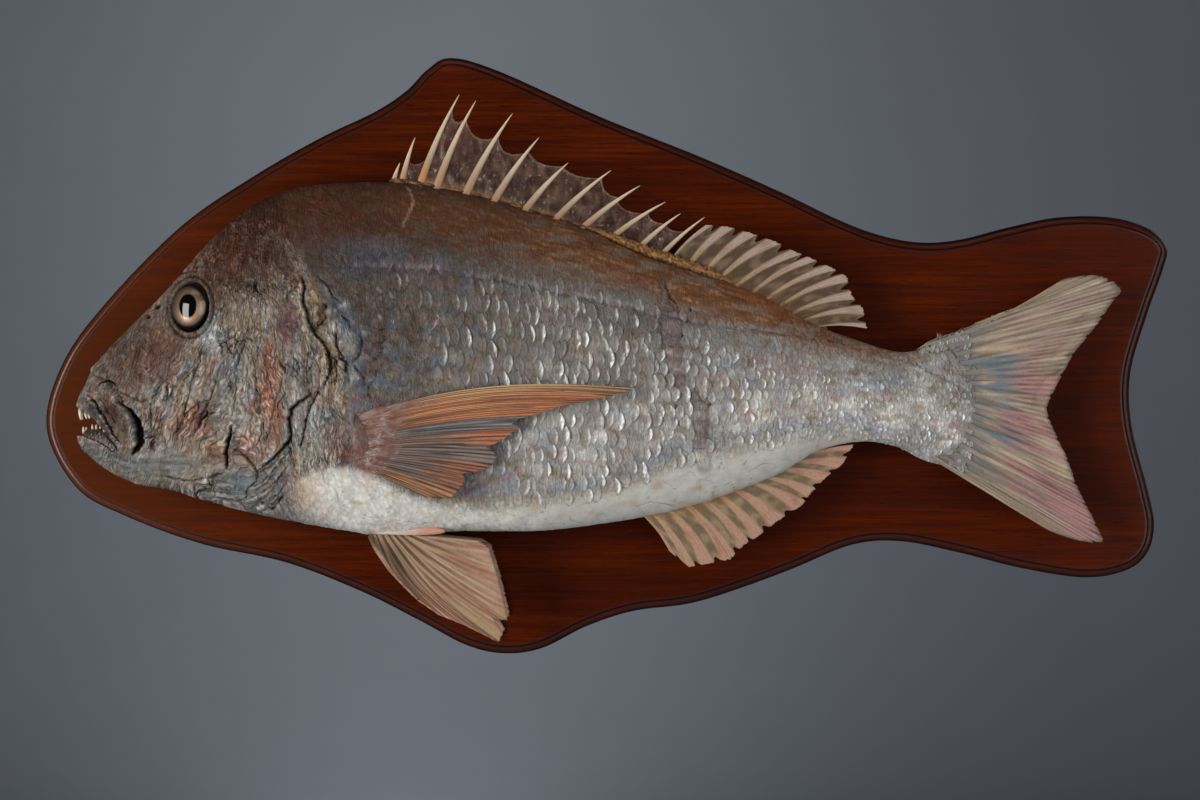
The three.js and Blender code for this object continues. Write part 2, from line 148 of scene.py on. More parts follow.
def noise_at(x, z, size, seed=0, y=0.0):
    """Noise over x and z whose features are about size across. A size may be one per axis."""
    sx, sz = size if np.ndim(size) else (size, size)
    x, z, y = np.broadcast_arrays(x / sx, z / sz, np.asarray(y, float) / sx)
    return noise(np.stack([x, z, y], -1), seed)


def blotches(x, z, size, seed, low, high):
    """Scattered patches about size across: 0 where the noise is under low, 1 where it is over high."""
    return ramp(noise_at(x, z, size, seed), low, high)


def stained(colour, x, z, stains, share=1):
    """The colour with patches of others over it. A stain has colour, strength, size, seed, low, high."""
    for over, strength, size, seed, low, high in stains:
        colour = mix(colour, tone(*over), strength * share * blotches(x, z, size, seed, low, high))
    return colour


def waves(u, v, across, down, seed):
    """Noise over a fin, with so many waves across it and along its rays."""
    return noise_at(u * across, v * down, 1, seed)


def flecks(u, v, across, down, seed, low, high):
    """Flecks over a fin: 0 where those waves are under low, 1 where they are over high."""
    return ramp(waves(u, v, across, down, seed), low, high)


def arch(v):
    """0 at both ends of a span and 1 half way."""
    return np.sin(np.pi * np.clip(v, 0, 1))


def circle(sides):
    """Angles round a circle."""
    return np.linspace(0, 2 * math.pi, sides, endpoint=False)


def unit(vectors):
    """The vectors at length 1."""
    return vectors / np.maximum(np.linalg.norm(vectors, axis=-1), 1e-9)[..., None]


def shifted(line, dx, dz):
    """The line moved by dx and dz."""
    return np.array(line) + (dx, dz)


def cells(x, z, size, seed=0):
    """Distances, as shares of size, to the nearest and next of scattered sites, and the nearest's number."""
    rng = np.random.default_rng(seed)
    table = rng.permutation(256)
    jitter = rng.random((256, 2))
    worth = rng.random(256)
    sx, sz = size if np.ndim(size) else (size, size)
    p = np.stack([x / sx, z / sz], -1)
    cell = np.floor(p).astype(int)
    first = np.full(p.shape[:-1], 9.0)
    second, owner = first.copy(), np.zeros_like(first)
    for step in product((-1, 0, 1), repeat=2):
        c = cell + step
        key = table[(table[c[..., 0] & 255] + c[..., 1]) & 255]
        d = np.linalg.norm(p - c - jitter[key], axis=-1)
        closer = d < first
        second = np.where(closer, first, np.minimum(second, d))
        owner = np.where(closer, worth[key], owner)
        first = np.where(closer, d, first)
    return first, second, owner


def spot(x, z, centre, radii, tilt=0):
    """1 at the middle of an oval in the x-z plane, falling smoothly to 0 at its rim."""
    c, s = math.cos(math.radians(tilt)), math.sin(math.radians(tilt))
    dx, dz = x - centre[0], z - centre[1]
    reach = np.hypot((dx * c + dz * s) / radii[0], (dz * c - dx * s) / radii[1])
    return ramp(reach, 1, 0.25)


# ---- body form ----------------------------------------------------------------------------------
BACK, BELLY, HALF_WIDTH = smooth(BACK_POINTS), smooth(BELLY_POINTS), smooth(HALF_WIDTH_POINTS)
WIDEST_Z = smooth(WIDEST_Z_POINTS)
BACK_POWER, BELLY_POWER = smooth(BACK_POWER_POINTS), smooth(BELLY_POWER_POINTS)
SNOUT_X, ROOT_X = -422.5, 297.0     # ends of the skin
SNOUT_ROUND, ROOT_ROUND = 4.0, 12.0  # stretches over which its ends close
ROOT_BEND = 0.0062                  # how the scaly root of the tail bows, per mm off its middle
ROOT_BEND_START, ROOT_MIDDLE_Z = 205, -34
RING_STEPS = 400                    # steps by which a section's length is measured


def closing(x):
    """How far a section at x has closed towards its middle: 1 along the body and 0 at its ends."""
    front = np.clip((x - SNOUT_X) / SNOUT_ROUND, 0, 1)
    rear = np.clip((ROOT_X - x) / ROOT_ROUND, 0, 1)
    return np.sqrt(1 - (1 - front) ** 2) * np.sqrt(1 - (1 - rear) ** 2)


def half_ring(x, count):
    """y and z of the near half of the section at x, from back to belly, at even steps of its length."""
    middle = WIDEST_Z(x)
    angle = np.linspace(math.pi / 2, 1.5 * math.pi, RING_STEPS)
    up = np.sin(angle) >= 0
    height = np.where(up, BACK(x) - middle, middle - BELLY(x)) * (1 if x < 250 else closing(x) ** 0.3)
    power = 2 / np.where(up, BACK_POWER(x), BELLY_POWER(x))
    close = closing(x) if x > 0 else 1
    across = -np.abs(np.cos(angle)) ** power * HALF_WIDTH(x) * close
    rise = np.sign(np.sin(angle)) * np.abs(np.sin(angle)) ** power * height
    if x < -400:
        across, rise = across * closing(x), rise * closing(x)
    run = np.concatenate([[0], np.cumsum(np.hypot(np.diff(across), np.diff(rise)))])
    even = np.linspace(0, run[-1], count)
    return np.interp(even, run, across) + MID_Y, np.interp(even, run, rise) + middle, run[-1]


FORM_X = np.linspace(SNOUT_X, ROOT_X, 720)
FORM_SHARE_COUNT = 241
FORM = [half_ring(x, FORM_SHARE_COUNT) for x in FORM_X]
FORM_Y = np.array([ring[0] for ring in FORM])
FORM_Z = np.array([ring[1] for ring in FORM])
FORM_GIRTH = np.array([ring[2] for ring in FORM])


def form_point(x, share):
    """The place on the body a share of the way from back to belly. Shares below 0 and above 1 lie on
    the far side, which is sawn flat."""
    folded = np.where(share < 0, -share, np.where(share > 1, 2 - share, share))
    i = np.clip((x - SNOUT_X) / (ROOT_X - SNOUT_X) * (len(FORM_X) - 1), 0, len(FORM_X) - 1.001)
    j = np.clip(folded * (FORM_SHARE_COUNT - 1), 0, FORM_SHARE_COUNT - 1.001)
    i0, j0 = i.astype(int), j.astype(int)
    fi, fj = i - i0, j - j0

    def read(grid):
        near = grid[i0, j0] * (1 - fj) + grid[i0, j0 + 1] * fj
        far = grid[i0 + 1, j0] * (1 - fj) + grid[i0 + 1, j0 + 1] * fj
        return near * (1 - fi) + far * fi
    y, z = read(FORM_Y), read(FORM_Z)
    y = np.where(folded == share, y, np.minimum(2 * MID_Y - y, SEAT_Y))
    bow = ramp(x, ROOT_BEND_START, ROOT_X) * ROOT_BEND * (z - ROOT_MIDDLE_Z) ** 2
    return np.stack([x - bow, y, z], -1)


def form_normal(x, share):
    """The outward direction there."""
    dx = form_point(x + 0.8, share) - form_point(x - 0.8, share)
    ds = form_point(x, share + 0.004) - form_point(x, share - 0.004)
    return unit(np.cross(ds, dx))


def girth(x):
    """Length of the near half of the section at x."""
    return np.interp(x, FORM_X, FORM_GIRTH)


def flank(x, z):
    """y of the near flank at a place in the x-z plane."""
    middle = WIDEST_Z(x)
    up = z >= middle
    height = np.where(up, BACK(x) - middle, middle - BELLY(x))
    power = np.where(up, BACK_POWER(x), BELLY_POWER(x))
    reach = np.minimum(np.abs(z - middle) / height, 1)
    return MID_Y - HALF_WIDTH(x) * (1 - reach ** power) ** (1 / power)


# ---- folds and creases --------------------------------------------------------------------------
class Relief:
    """Heights of folds over places in the x-z plane, the painted shade of their hollows and cracks, and
    how light each flake of skin is, which holds each flake's own tone and painted highlights."""

    def __init__(self, x, z):
        self.x = x + 1.1 * noise_at(x, z, 6, 11) + 0.5 * noise_at(x, z, 2.4, 12)
        self.z = z + 1.1 * noise_at(x, z, 6, 13) + 0.5 * noise_at(x, z, 2.4, 14)
        self.height = np.zeros_like(x)
        self.shade = np.zeros_like(x)
        self.light = np.zeros_like(x)

    def darken(self, share, found=slice(None)):
        """Makes the places found at least this dark with painted shade."""
        self.shade[found] = np.maximum(self.shade[found], share)

    def near(self, line, reach):
        """The places close to a line: which, how far off, on which side, and the share along it."""
        p = curve(line)
        low, high = p.min(0) - reach, p.max(0) + reach
        found = np.flatnonzero((self.x > low[0]) & (self.x < high[0])
                               & (self.z > low[1]) & (self.z < high[1]))
        x, z = self.x[found], self.z[found]
        best = np.full(len(found), 1e9)
        side, share = np.ones(len(found)), np.zeros(len(found))
        for k, (a, b) in enumerate(zip(p, p[1:])):
            run = b - a
            t = np.clip(((x - a[0]) * run[0] + (z - a[1]) * run[1]) / (run @ run), 0, 1)
            dx, dz = x - a[0] - t * run[0], z - a[1] - t * run[1]
            d = np.hypot(dx, dz)
            closer = d < best
            best = np.where(closer, d, best)
            side = np.where(closer, np.sign(run[0] * dz - run[1] * dx), side)
            share = np.where(closer, (k + t) / (len(p) - 1), share)
        return found, best, side, share

    def groove(self, line, width, depth, dark=0.9):
        """A hollow that is deepest on the line and tapers at its ends, with painted shade along it."""
        found, d, _, share = self.near(line, 4 * width)
        taper = ramp(share, 0, 0.12) * ramp(share, 1, 0.88)
        taper *= 0.75 + 0.35 * noise_at(self.x[found], self.z[found], 7, 21)
        across = d / (width * (0.35 + 0.65 * taper))
        self.height[found] -= depth * taper * np.exp(-across ** 2)
        strong = np.clip(taper * (1.2 + 0.6 * noise_at(self.x[found], self.z[found], 4, 22)), 0, 1)
        self.darken(dark * strong * np.exp(-(across / 0.85) ** 4), found)

    def hollow(self, line, width, depth, dark=1.0, late=1.0):
        """A hollow with steep sides and a flat floor, broadest half way along or later, filled with painted
        shade.
        """
        found, d, _, share = self.near(line, 1.5 * width)
        half = width * np.sin(np.pi * np.clip(share, 0.02, 0.98) ** late) ** 0.7
        inside = ramp(d, half + 0.5, half - 0.6)
        self.height[found] -= depth * inside
        self.darken(dark * inside, found)

    def ridge(self, line, width, height):
        """A rounded fold that stands highest on the line."""
        found, d, _, share = self.near(line, 3 * width)
        taper = ramp(share, 0, 0.15) * ramp(share, 1, 0.85)
        self.height[found] += height * taper * np.exp(-(d / width) ** 2)

    def step(self, line, height, reach, side, gap=1.3, dark=0.9):
        """An edge that stands over what lies beyond it: the raised side falls away over reach. Painted shade
        lies in the gap beyond the edge.
        """
        found, d, hand, share = self.near(line, 4 * reach)
        taper = ramp(share, 0, 0.1) * ramp(share, 1, 0.9)
        raised = hand == side
        self.height[found] += np.where(raised, height * np.exp(-d / reach), 0) * taper
        beyond = np.where(raised, 0, np.exp(-(d / gap) ** 2)) * taper
        self.height[found] -= 0.8 * height * beyond
        self.darken(dark * beyond, found)

    def oval(self, centre, radii, height, tilt=0):
        self.height += height * spot(self.x, self.z, centre, radii, tilt)

    def streak(self, line, width, light):
        """A lighter line: a painted highlight along the crest of a fold on the head, and paler skin along the
        crack of the nape.
        """
        found, d, _, share = self.near(line, 3 * width)
        self.light[found] += light * ramp(share, 0, 0.1) * ramp(share, 1, 0.9) * np.exp(-(d / width) ** 2)


# Lines of the head, as [x, z] on the near side.
LIP_GROOVE = [[-413, -29], [-403, -36], [-399, -42], [-394, -48], [-389, -56], [-385, -63], [-380, -70]]
MAXILLA_EDGE = [[-398, -25], [-389, -31], [-383, -37], [-377, -43], [-373, -50], [-371, -57], [-371, -65],
                [-374, -72]]
LIP_BAR = [[-415, -36], [-408, -40], [-401, -46], [-394, -54], [-388, -62], [-383, -70]]
JAW_HOLLOW = [[-384, -33], [-380, -37], [-375, -41], [-371, -46], [-367, -52], [-365, -59], [-365, -67],
              [-367, -73], [-371, -78]]
JAW_HOOD = [[-400, -26], [-397, -22], [-390, -21], [-383, -25]]
MAXILLA_TOP = [[-390, -25], [-383, -30], [-378, -37], [-372, -45]]
JAW_FOLD = [[-400, -33], [-395, -40], [-388, -49], [-382, -57]]
SNOUT_EDGE = [[-410, -13], [-399, -18], [-387, -25], [-376, -32], [-364, -36], [-354, -34]]
CHIN_LINE = [[-398, -74], [-383, -82], [-365, -85], [-345, -85], [-325, -87], [-307, -90]]
GILL_HOLE = [[-291, -55], [-293, -63], [-295, -72], [-296, -81], [-295, -89]]
GILL_SLIT = [[-295, -88], [-301, -93], [-312, -97], [-330, -99], [-350, -95]]
CHEEK_EDGE = [[-277, 28], [-279, 19], [-282, 11], [-284, 3], [-286, -8], [-287, -20], [-288, -36],
              [-291, -55]]
THROAT_PLATE = [[-294, -71], [-285, -76], [-278, -83], [-272, -90], [-273, -96], [-278, -103],
                [-284, -111], [-294, -116]]
COVER_EDGE = [[-226, -28], [-231, -32], [-237, -36], [-244, -42], [-246, -50], [-246, -57], [-245, -64],
              [-250, -71], [-257, -78], [-265, -85], [-274, -90]]
GILL_SKIN_EDGE = [[-221, -26], [-226, -35], [-230, -43], [-233, -51], [-235, -59], [-236, -66], [-236, -74]]
THROAT_FOLDS = [
    [[-246, -69], [-254, -77], [-262, -84], [-275, -90]],
    [[-247, -75], [-257, -88], [-269, -100], [-281, -107]],
    [[-249, -86], [-257, -98], [-266, -107], [-284, -116]],
    [[-250, -99], [-256, -109], [-266, -117], [-276, -120]]]
THROAT_CRACK = [[-250, -107], [-256, -116], [-264, -123]]
COVER_CRACK = [[-238, 64], [-236, 51], [-236, 40], [-232, 27], [-228, 17], [-221, 9], [-217, 2], [-215, -6],
               [-216, -17], [-221, -28]]
# Lumps of loose skin behind the gill cover: middle [x, z], radii, tilt and height.
LUMPS = [((-232, 43), (3, 5), 10, 2.0), ((-225, 34), (4.5, 7), -8, 2.6), ((-213, 32), (7, 7), 20, 1.8),
         ((-217, 50), (9, 4), -38, 2.0), ((-207, 21), (6, 8), 10, 1.8), ((-197, 7), (7, 14), 8, 3.0),
         ((-205, -8), (5, 10), 0, 2.0), ((-193, -18), (6, 9), -10, 1.6), ((-201, 38), (7, 6), 30, 1.4),
         ((-187, -2), (5, 8), 10, 1.2), ((-212, 10), (4, 8), 12, 1.8)]
LUMP_CRACKS = [
    [[-227, 62], [-219, 56], [-213, 47], [-207, 41]],
    [[-219, 42], [-217, 34], [-219, 26], [-224, 20]],
    [[-190, 20], [-189, 7], [-192, -2], [-197, -8]],
    [[-197, -8], [-189, -16], [-186, -26]],
    [[-208, 20], [-209, 7], [-201, -8], [-199, -26]],
    [[-206, 30], [-200, 26], [-198, 20]],
    [[-180, -20], [-184, -28], [-182, -36]]]
GOLD_STRIP = [[-227, 42], [-220, 22], [-211, 7], [-205, -6], [-203, -20], [-207, -33]]
CHEEK_CRACKS = [
    [[-314, 7], [-317, -3], [-322, -20], [-326, -36], [-332, -55]],
    [[-299, -5], [-303, -20], [-309, -36], [-319, -55]],
    [[-305, -29], [-312, -43], [-319, -59], [-324, -71]],
    [[-267, 19], [-270, 3], [-272, -16], [-270, -36], [-267, -55]],
    [[-249, 7], [-250, -8], [-251, -24], [-256, -39], [-261, -59], [-266, -74]],
    [[-354, -34], [-356, -45], [-355, -59], [-356, -71], [-353, -81]]]
NOSTRILS = [[-353, 38], [-361, 30]]
LATERAL_LINE = [[-203, 69], [-176, 69], [-145, 67], [-114, 63], [-82, 58], [-36, 48], [11, 38], [58, 28],
                [105, 21], [152, 14], [192, 8], [232, -2], [263, -16], [291, -32]]
NAPE_CRACK = [[-158, 134], [-153, 125], [-152, 119], [-155, 110], [-158, 103], [-159, 97]]
STRIP_FRONT = [[42, 60], [43, 51], [43, 15], [46, -2], [53, -24], [65, -30], [69, -49], [66, -70], [73, -91]]
STRIP_BACK = [[46, 60], [50, 42], [60, 24], [61, 10], [59, -8], [64, -24], [78, -35], [80, -56], [80, -74],
              [82, -91]]
FLANK_CRACKS = [
    [[45, 57], [51, 45], [58, 33], [63, 25], [61, 15], [60, 6]],
    [[63, 25], [66, 31], [66, 38]],
    [[57, -24], [53, -33], [54, -42], [55, -49], [59, -58]],
    [[80, -28], [81, -38], [78, -46]],
    [[98, 5], [90, 1], [91, -8]]]
BELLY_LINE = [[-240, -97], [-222, -90], [-202, -88], [-184, -93], [-162, -106], [-130, -118], [-83, -121],
              [-36, -117], [11, -107], [42, -95], [73, -85], [105, -79], [136, -72], [176, -68], [206, -70],
              [226, -84], [300, -110]]
BROWN_LINE = [[-216, 92], [-176, 88], [-145, 83], [-106, 76], [-67, 69], [-28, 60], [11, 50], [42, 40],
              [73, 28], [105, 19], [144, 7], [184, 0], [216, -6], [300, -6]]
SHOULDER = [[-262, 150], [-246, 96], [-226, 50], [-208, 20], [-200, -6], [-200, -40], [-190, -100],
            [-180, -150]]
BELLY_EDGE = smooth(BELLY_LINE)     # height at which the pale belly starts
BROWN_EDGE = smooth(BROWN_LINE)     # height below which the brown of the back ends
STRIP_LEFT, STRIP_RIGHT, SHOULDER_X = [    # x of the bare strip's edges and of the head's, over z
    smooth([p[::-1] for p in line[::-1]]) for line in (STRIP_FRONT, STRIP_BACK, SHOULDER)]
LATERAL = smooth(LATERAL_LINE)      # height of the lateral line
# Swellings and dents of the head: middle [x, z], radii, height and tilt.
SWELLINGS = [
    ((-383, -49), (29, 13), 3.0, -58),     # the broad end of the upper jaw bone
    ((-352, -12), (26, 20), 1.6, 40),      # the swelling of the snout
    ((-330, -60), (26, 24), 1.8, 0),       # the cheek muscle
    ((-256, -20), (26, 52), 2.0, 0),       # the gill cover
    ((-285, -98), (22, 16), 1.6, 20),      # the throat plate
    ((-310, -6), (16, 24), -1.2, 20),      # the hollow below the eye
    ((-184, -66), (30, 26), 4.2, 0)]       # the fleshy root of the breast fin
# Folds of the head in the order they are cut: the kind, its line, how far it lies off it, its sizes.
# Grooves, hollows and steps carry painted shade, and each streak is a painted highlight on a crest.
FACE_FOLDS = [
    ("groove", SNOUT_EDGE, (0, 0), 1.6, 1.6, 0.6), ("ridge", SNOUT_EDGE, (-1, 4), 3.5, 1.1),
    ("ridge", LIP_BAR, (0, 0), 3.2, 1.6), ("hollow", LIP_GROOVE, (0, 0), 1.0, 3.0),
    ("ridge", MAXILLA_EDGE, (0, 0), 3.0, 2.6), ("streak", MAXILLA_EDGE, (0, 0), 1.1, 0.5),
    ("streak", LIP_GROOVE, (-1.4, -1.2), 0.7, 0.5), ("groove", JAW_FOLD, (1.2, 1.0), 0.9, 0.9, 0.7),
    ("ridge", JAW_FOLD, (3.2, 2.2), 1.3, 1.1), ("ridge", JAW_FOLD, (-1.4, -1.0), 1.0, 0.7),
    ("hollow", JAW_HOLLOW, (0, 0), 3.3, 5.5, 1.0, 1.9), ("hollow", JAW_HOOD, (0, 0), 1.0, 2.0),
    ("groove", MAXILLA_TOP, (0, 0), 0.8, 1.0, 0.8), ("groove", CHIN_LINE, (0, 0), 1.8, 1.0, 0.25),
    ("hollow", GILL_HOLE, (0, 0), 1.5, 4.0), ("groove", GILL_HOLE, (0, 0), 1.8, 1.5, 0.9),
    ("groove", GILL_SLIT, (0, 0), 1.0, 1.8, 0.85), ("groove", CHEEK_EDGE, (0, 0), 1.0, 1.6, 0.7),
    ("step", THROAT_PLATE, (0, 0), 1.6, 8, -1, 1.4, 0.7), ("step", COVER_EDGE, (0, 0), 4.0, 13, -1, 1.8, 1.0),
    ("ridge", COVER_EDGE, (-1.8, 1.0), 1.8, 1.2), ("streak", COVER_EDGE, (-1.8, 1.0), 1.2, 0.5),
    ("ridge", GILL_SKIN_EDGE, (-6, -2), 4.0, 1.6), ("step", GILL_SKIN_EDGE, (0, 0), 2.4, 5, -1, 1.3, 0.9),
    ("ridge", GILL_SKIN_EDGE, (5, 0), 2.6, 1.8)]
for fold in THROAT_FOLDS:
    FACE_FOLDS += [("ridge", fold, (0, 0), 2.4, 2.0), ("streak", fold, (0, 0), 1.6, 0.5),
                   ("groove", fold, (3.2, 3.2), 1.0, 1.5, 0.85),
                   ("groove", fold, (-1.5, -5.0), 0.6, 0.8, 0.7)]
FACE_FOLDS += [
    ("groove", THROAT_CRACK, (0, 0), 1.3, 1.8, 0.95), ("step", COVER_CRACK, (0, 0), 3.2, 9, -1, 1.7, 0.95),
    ("ridge", COVER_CRACK, (-1.6, 0), 1.5, 1.0), ("streak", COVER_CRACK, (-1.8, 0), 1.3, 0.6),
    ("ridge", GOLD_STRIP, (0, 0), 2.6, 1.7)]
for crack_line in CHEEK_CRACKS:
    FACE_FOLDS += [("groove", crack_line, (0, 0), 0.8, 1.3, 0.75), ("ridge", crack_line, (-2.6, 0), 1.8, 0.8)]


def strip_share(x, z):
    """1 on the bare, mended strip down the flank, and 0 off it."""
    wander = 2.2 * noise_at(x, z, 9, 31)
    return (ramp(x + wander, STRIP_LEFT(z) - 2, STRIP_LEFT(z) + 2)
            * ramp(x + wander, STRIP_RIGHT(z) + 2, STRIP_RIGHT(z) - 2) * ramp(z, -96, -84) * ramp(z, 66, 54))


def eye_reach(x, z):
    """Distance from the middle of the eye as a share of its half size."""
    return np.hypot((x - EYE["x"]) / (EYE["half_length"] * math.cos(EYE["turn"])),
                    (z - EYE["z"]) / EYE["half_height"])


def head_share(x, z):
    """1 over the head and 0 over the body."""
    return ramp(x - SHOULDER_X(z), 5, -5)


def flow(x, z):
    """x and z drawn along the wrinkles of the head, which run down it and lean forward on the cheek."""
    wx = x + 2.4 * noise_at(x, z, 15, 40) + 1.2 * noise_at(x, z, 5.5, 41)
    wz = z + 2.4 * noise_at(x, z, 15, 42) + 1.2 * noise_at(x, z, 5.5, 43)
    return wx - (0.46 * ramp(x, -250, -330) - 0.12) * wz * ramp(x, -200, -240), wz


def flakes(relief, place, size, seed, weight, height, crack, gap=0.24):
    """Dried skin broken into flakes about size across: each stands at its own height, has its own
    lightness with a painted highlight on its middle, and painted shade in the crack round it."""
    first, second, worth = cells(*place, size, seed)
    broken = np.clip(0.65 + 0.9 * noise_at(*place, (1.7 * size[0], 1.7 * size[1]), seed + 100), 0.1, 1.2)
    split = ramp(second - first, gap, 0.03) * broken
    relief.height += weight * (height * (0.5 * worth + 0.5 * ramp(first, 0.8, 0.05) - 0.4) - crack * split)
    relief.darken(weight * split * min(1.0, 0.30 + 0.5 * crack))
    relief.light += weight * (0.55 * (worth - 0.5) + 0.4 * ramp(first, 0.5, 0.0) - 0.05)


def head_relief(relief, x, z):
    """The dried, wrinkled skin of the head, its plates, lips and eyelid, with painted shade in its cracks
    and hollows and painted highlights on its flakes, lumps, folds and lid.
    """
    head = ramp(x - SHOULDER_X(z), 14, -8 - 26 * ramp(z, 60, 110))
    head = head * (1 - ramp(z - BELLY_EDGE(x), 8, -8) * ramp(x, -262, -240))
    e = eye_reach(x, z)
    jaws = ramp(x + 0.25 * z, -374, -384) * ramp(z, -14, -26)
    jaws = np.maximum(jaws, spot(x, z, (-345, -88), (66, 22), 6))
    folds = np.maximum(spot(x, z, (-263, -98), (30, 26), -40), spot(x, z, (-239, -50), (10, 34), 12))
    snout = spot(x, z, (-372, 2), (58, 48), 40) * (1 - jaws)
    crown = ramp(z, 20, 52)
    chunky = np.maximum(spot(x, z, (-290, 16), (32, 44), 14), spot(x, z, (-246, 20), (22, 36), 8) * 0.6)
    chunky = chunky * (1 - 0.5 * snout)
    patchy = np.clip(0.85 + 0.9 * noise_at(x, z, 20, 39), 0.2, 1.4)
    skin = head * (1 - 0.85 * jaws) * (1 - 0.8 * folds) * ramp(e, 1.25, 1.6) * patchy
    cheek = skin * (1 - 0.85 * snout) * (1 - 0.85 * crown) * (1 - 0.8 * chunky)
    u, v = flow(x, z)
    across = (u - 0.5 * v, v + 0.5 * u)
    for place, size, seed, weight, height, crack, gap in (
            ((u, v), (9, 36), 44, cheek, 1.0, 1.1, 0.05),
            ((u, v), (3.2, 13), 45, cheek, 0.9, 0.6, 0.14),
            ((u + 30, v), (2.1, 7.0), 46, cheek, 0.45, 0.25, 0.18),
            ((u, v), (8.0, 10.5), 52, skin * chunky, 1.3, 1.5, 0.09),
            ((u, v), (4.6, 6.2), 47, 0.75 * skin * chunky, 1.3, 1.2, 0.14),
            ((u, v), (2.6, 3.1), 48, skin * chunky * 0.5, 0.8, 0.5, 0.16),
            (across, (5.5, 3.4), 49, 0.9 * skin * crown * (1 - chunky), 1.1, 0.8, 0.12),
            (across, (16, 9), 51, 0.9 * skin * crown, 0.9, 1.0, 0.05),
            ((u + 0.8 * v, v - 0.8 * u), (2.0, 8.5), 50, 0.85 * skin * snout, 0.8, 0.6, 0.16)):
        flakes(relief, place, size, seed, weight, height, crack, gap)
    relief.height += 0.5 * jaws * head * noise_at(x, z, (8, 2.8), 58)
    relief.light += 0.45 * jaws * head * noise_at(x, z, (7, 3), 59)
    flakes(relief, (u, v), (10, 5.5), 53, 0.35 * jaws * head, 0.8, 0.7, 0.10)

    lumps = spot(x, z, (-214, 22), (26, 50), 12)
    flakes(relief, (u, v), (6.5, 8.5), 60, 0.55 * lumps, 1.6, 1.2, 0.16)
    for centre, radii, tilt, height in LUMPS:
        relief.oval(centre, radii, height, tilt)
        # A painted highlight on the upper left of each lump.
        relief.light += 0.45 * spot(relief.x, relief.z, (centre[0] - 0.8, centre[1] + 1), radii, tilt)
    for crack_line in LUMP_CRACKS:
        relief.groove(crack_line, 1.2, 2.0, 0.95)
    broken = spot(x, z, (-172, 10), (62, 76), 0) * (1 - head)
    bent = x + 2.5 * noise_at(x, z, 8, 62)
    flakes(relief, (bent, z), (9, 12), 63, broken * 0.8, 0.9, 1.0, 0.08)
    crumpled = ramp(x + 0.5 * z, -90, -150) * (1 - head) * ramp(z - BROWN_EDGE(x), 4, -14)
    flakes(relief, (bent, z), (3.0, 6.0), 64, crumpled * 0.6, 0.5, 0.4, 0.12)
    streaky = (1 - head) * ramp(z - BROWN_EDGE(x), -8, 8)
    drawn = (x + 0.3 * z, z + 0.28 * x + 2 * noise_at(x, z, 12, 65))
    flakes(relief, drawn, (14, 2.6), 66, streaky * 0.4, 0.4, 0.3, 0.14)

    for centre, radii, height, tilt in SWELLINGS:
        relief.oval(centre, radii, height, tilt)
    for kind, line, shift, *sizes in FACE_FOLDS:
        getattr(relief, kind)(shifted(line, *shift), *sizes)
    for x0, z0 in NOSTRILS:
        relief.oval((x0, z0), (3.6, 2.6), -2.6, 35)
        # Painted shade in the nostrils.
        relief.darken(0.95 * spot(relief.x, relief.z, (x0, z0), (3.4, 2.4), 35))

    radial = np.arctan2(z - EYE["z"], x - EYE["x"])
    pleats = noise_at(radial * 9, e * 5, 1, 70)
    lid = np.exp(-((e - 1.15) / 0.09) ** 2)
    fold = np.exp(-((e - 1.40 - 0.05 * pleats) / 0.07) ** 2) * ramp(z + 0.6 * (x - EYE["x"]), 20, 44)
    relief.height += 1.6 * lid * (1 + 0.5 * pleats) + 1.3 * fold * (1 + 0.5 * pleats)
    relief.height -= 0.9 * np.exp(-((e - 1.28) / 0.05) ** 2)
    # Painted highlights on the lid's pleats and on the fold above it.
    relief.light += lid * (1.1 * pleats - 0.25) + fold * (0.35 + 0.9 * pleats)
    # Painted shade in the groove round the lid; a broader band round it is darker.
    relief.darken(0.65 * np.exp(-((e - 1.28) / 0.04) ** 2))
    relief.light -= 0.5 * np.exp(-((e - 1.30) / 0.16) ** 2)
    relief.height -= 10 * ramp(e, 1.05, 0.93)
    # Painted shade in the socket round the glass.
    relief.darken(ramp(e, 1.09, 1.0))


def body_relief(relief, x, z):
    """Cracks and the mended strip of the flank, and the plaster-smooth belly, with painted shade in the
    cracks, the lateral line and along the strip's edge.
    """
    strip = strip_share(x, z)
    flakes(relief, (x + 2 * noise_at(x, z, 7, 79), z), (16, 9), 81, 0.8 * strip, 0.9, 0.6, 0.06)
    flakes(relief, (x, z), (3.5, 4.5), 78, 0.4 * strip, 0.5, 0.4, 0.12)
    # Painted shade along the sunken edge of the strip.
    edge = strip * (1 - strip) * 4
    relief.height -= 0.5 * edge
    relief.darken(0.4 * edge)
    for crack_line in FLANK_CRACKS:
        relief.groove(crack_line, 0.9, 1.5, 1.0)
    relief.groove(LATERAL_LINE, 0.8, 0.5, 0.55)
    relief.groove(NAPE_CRACK, 0.8, 0.6, 0.0)
    relief.streak(NAPE_CRACK, 0.9, 1.6)
    belly = ramp(z - BELLY_EDGE(x), 6, -4) * ramp(x, -262, -246)
    first, second, _ = cells(x + 5 * noise_at(x, z, 16, 82), z + 5 * noise_at(x, z, 16, 83), 17, 84)
    crack = ramp(second - first, 0.045, 0.0) * np.clip(0.5 + 1.2 * noise_at(x, z, 14, 87), 0, 1)
    relief.height += belly * (0.5 * noise_at(x, z, 11, 85) + 0.2 * noise_at(x, z, 4.5, 86) - 0.5 * crack)
    relief.darken(0.55 * belly * crack)
    relief.light += belly * 0.07 * noise_at(x, z, (9, 6), 88)


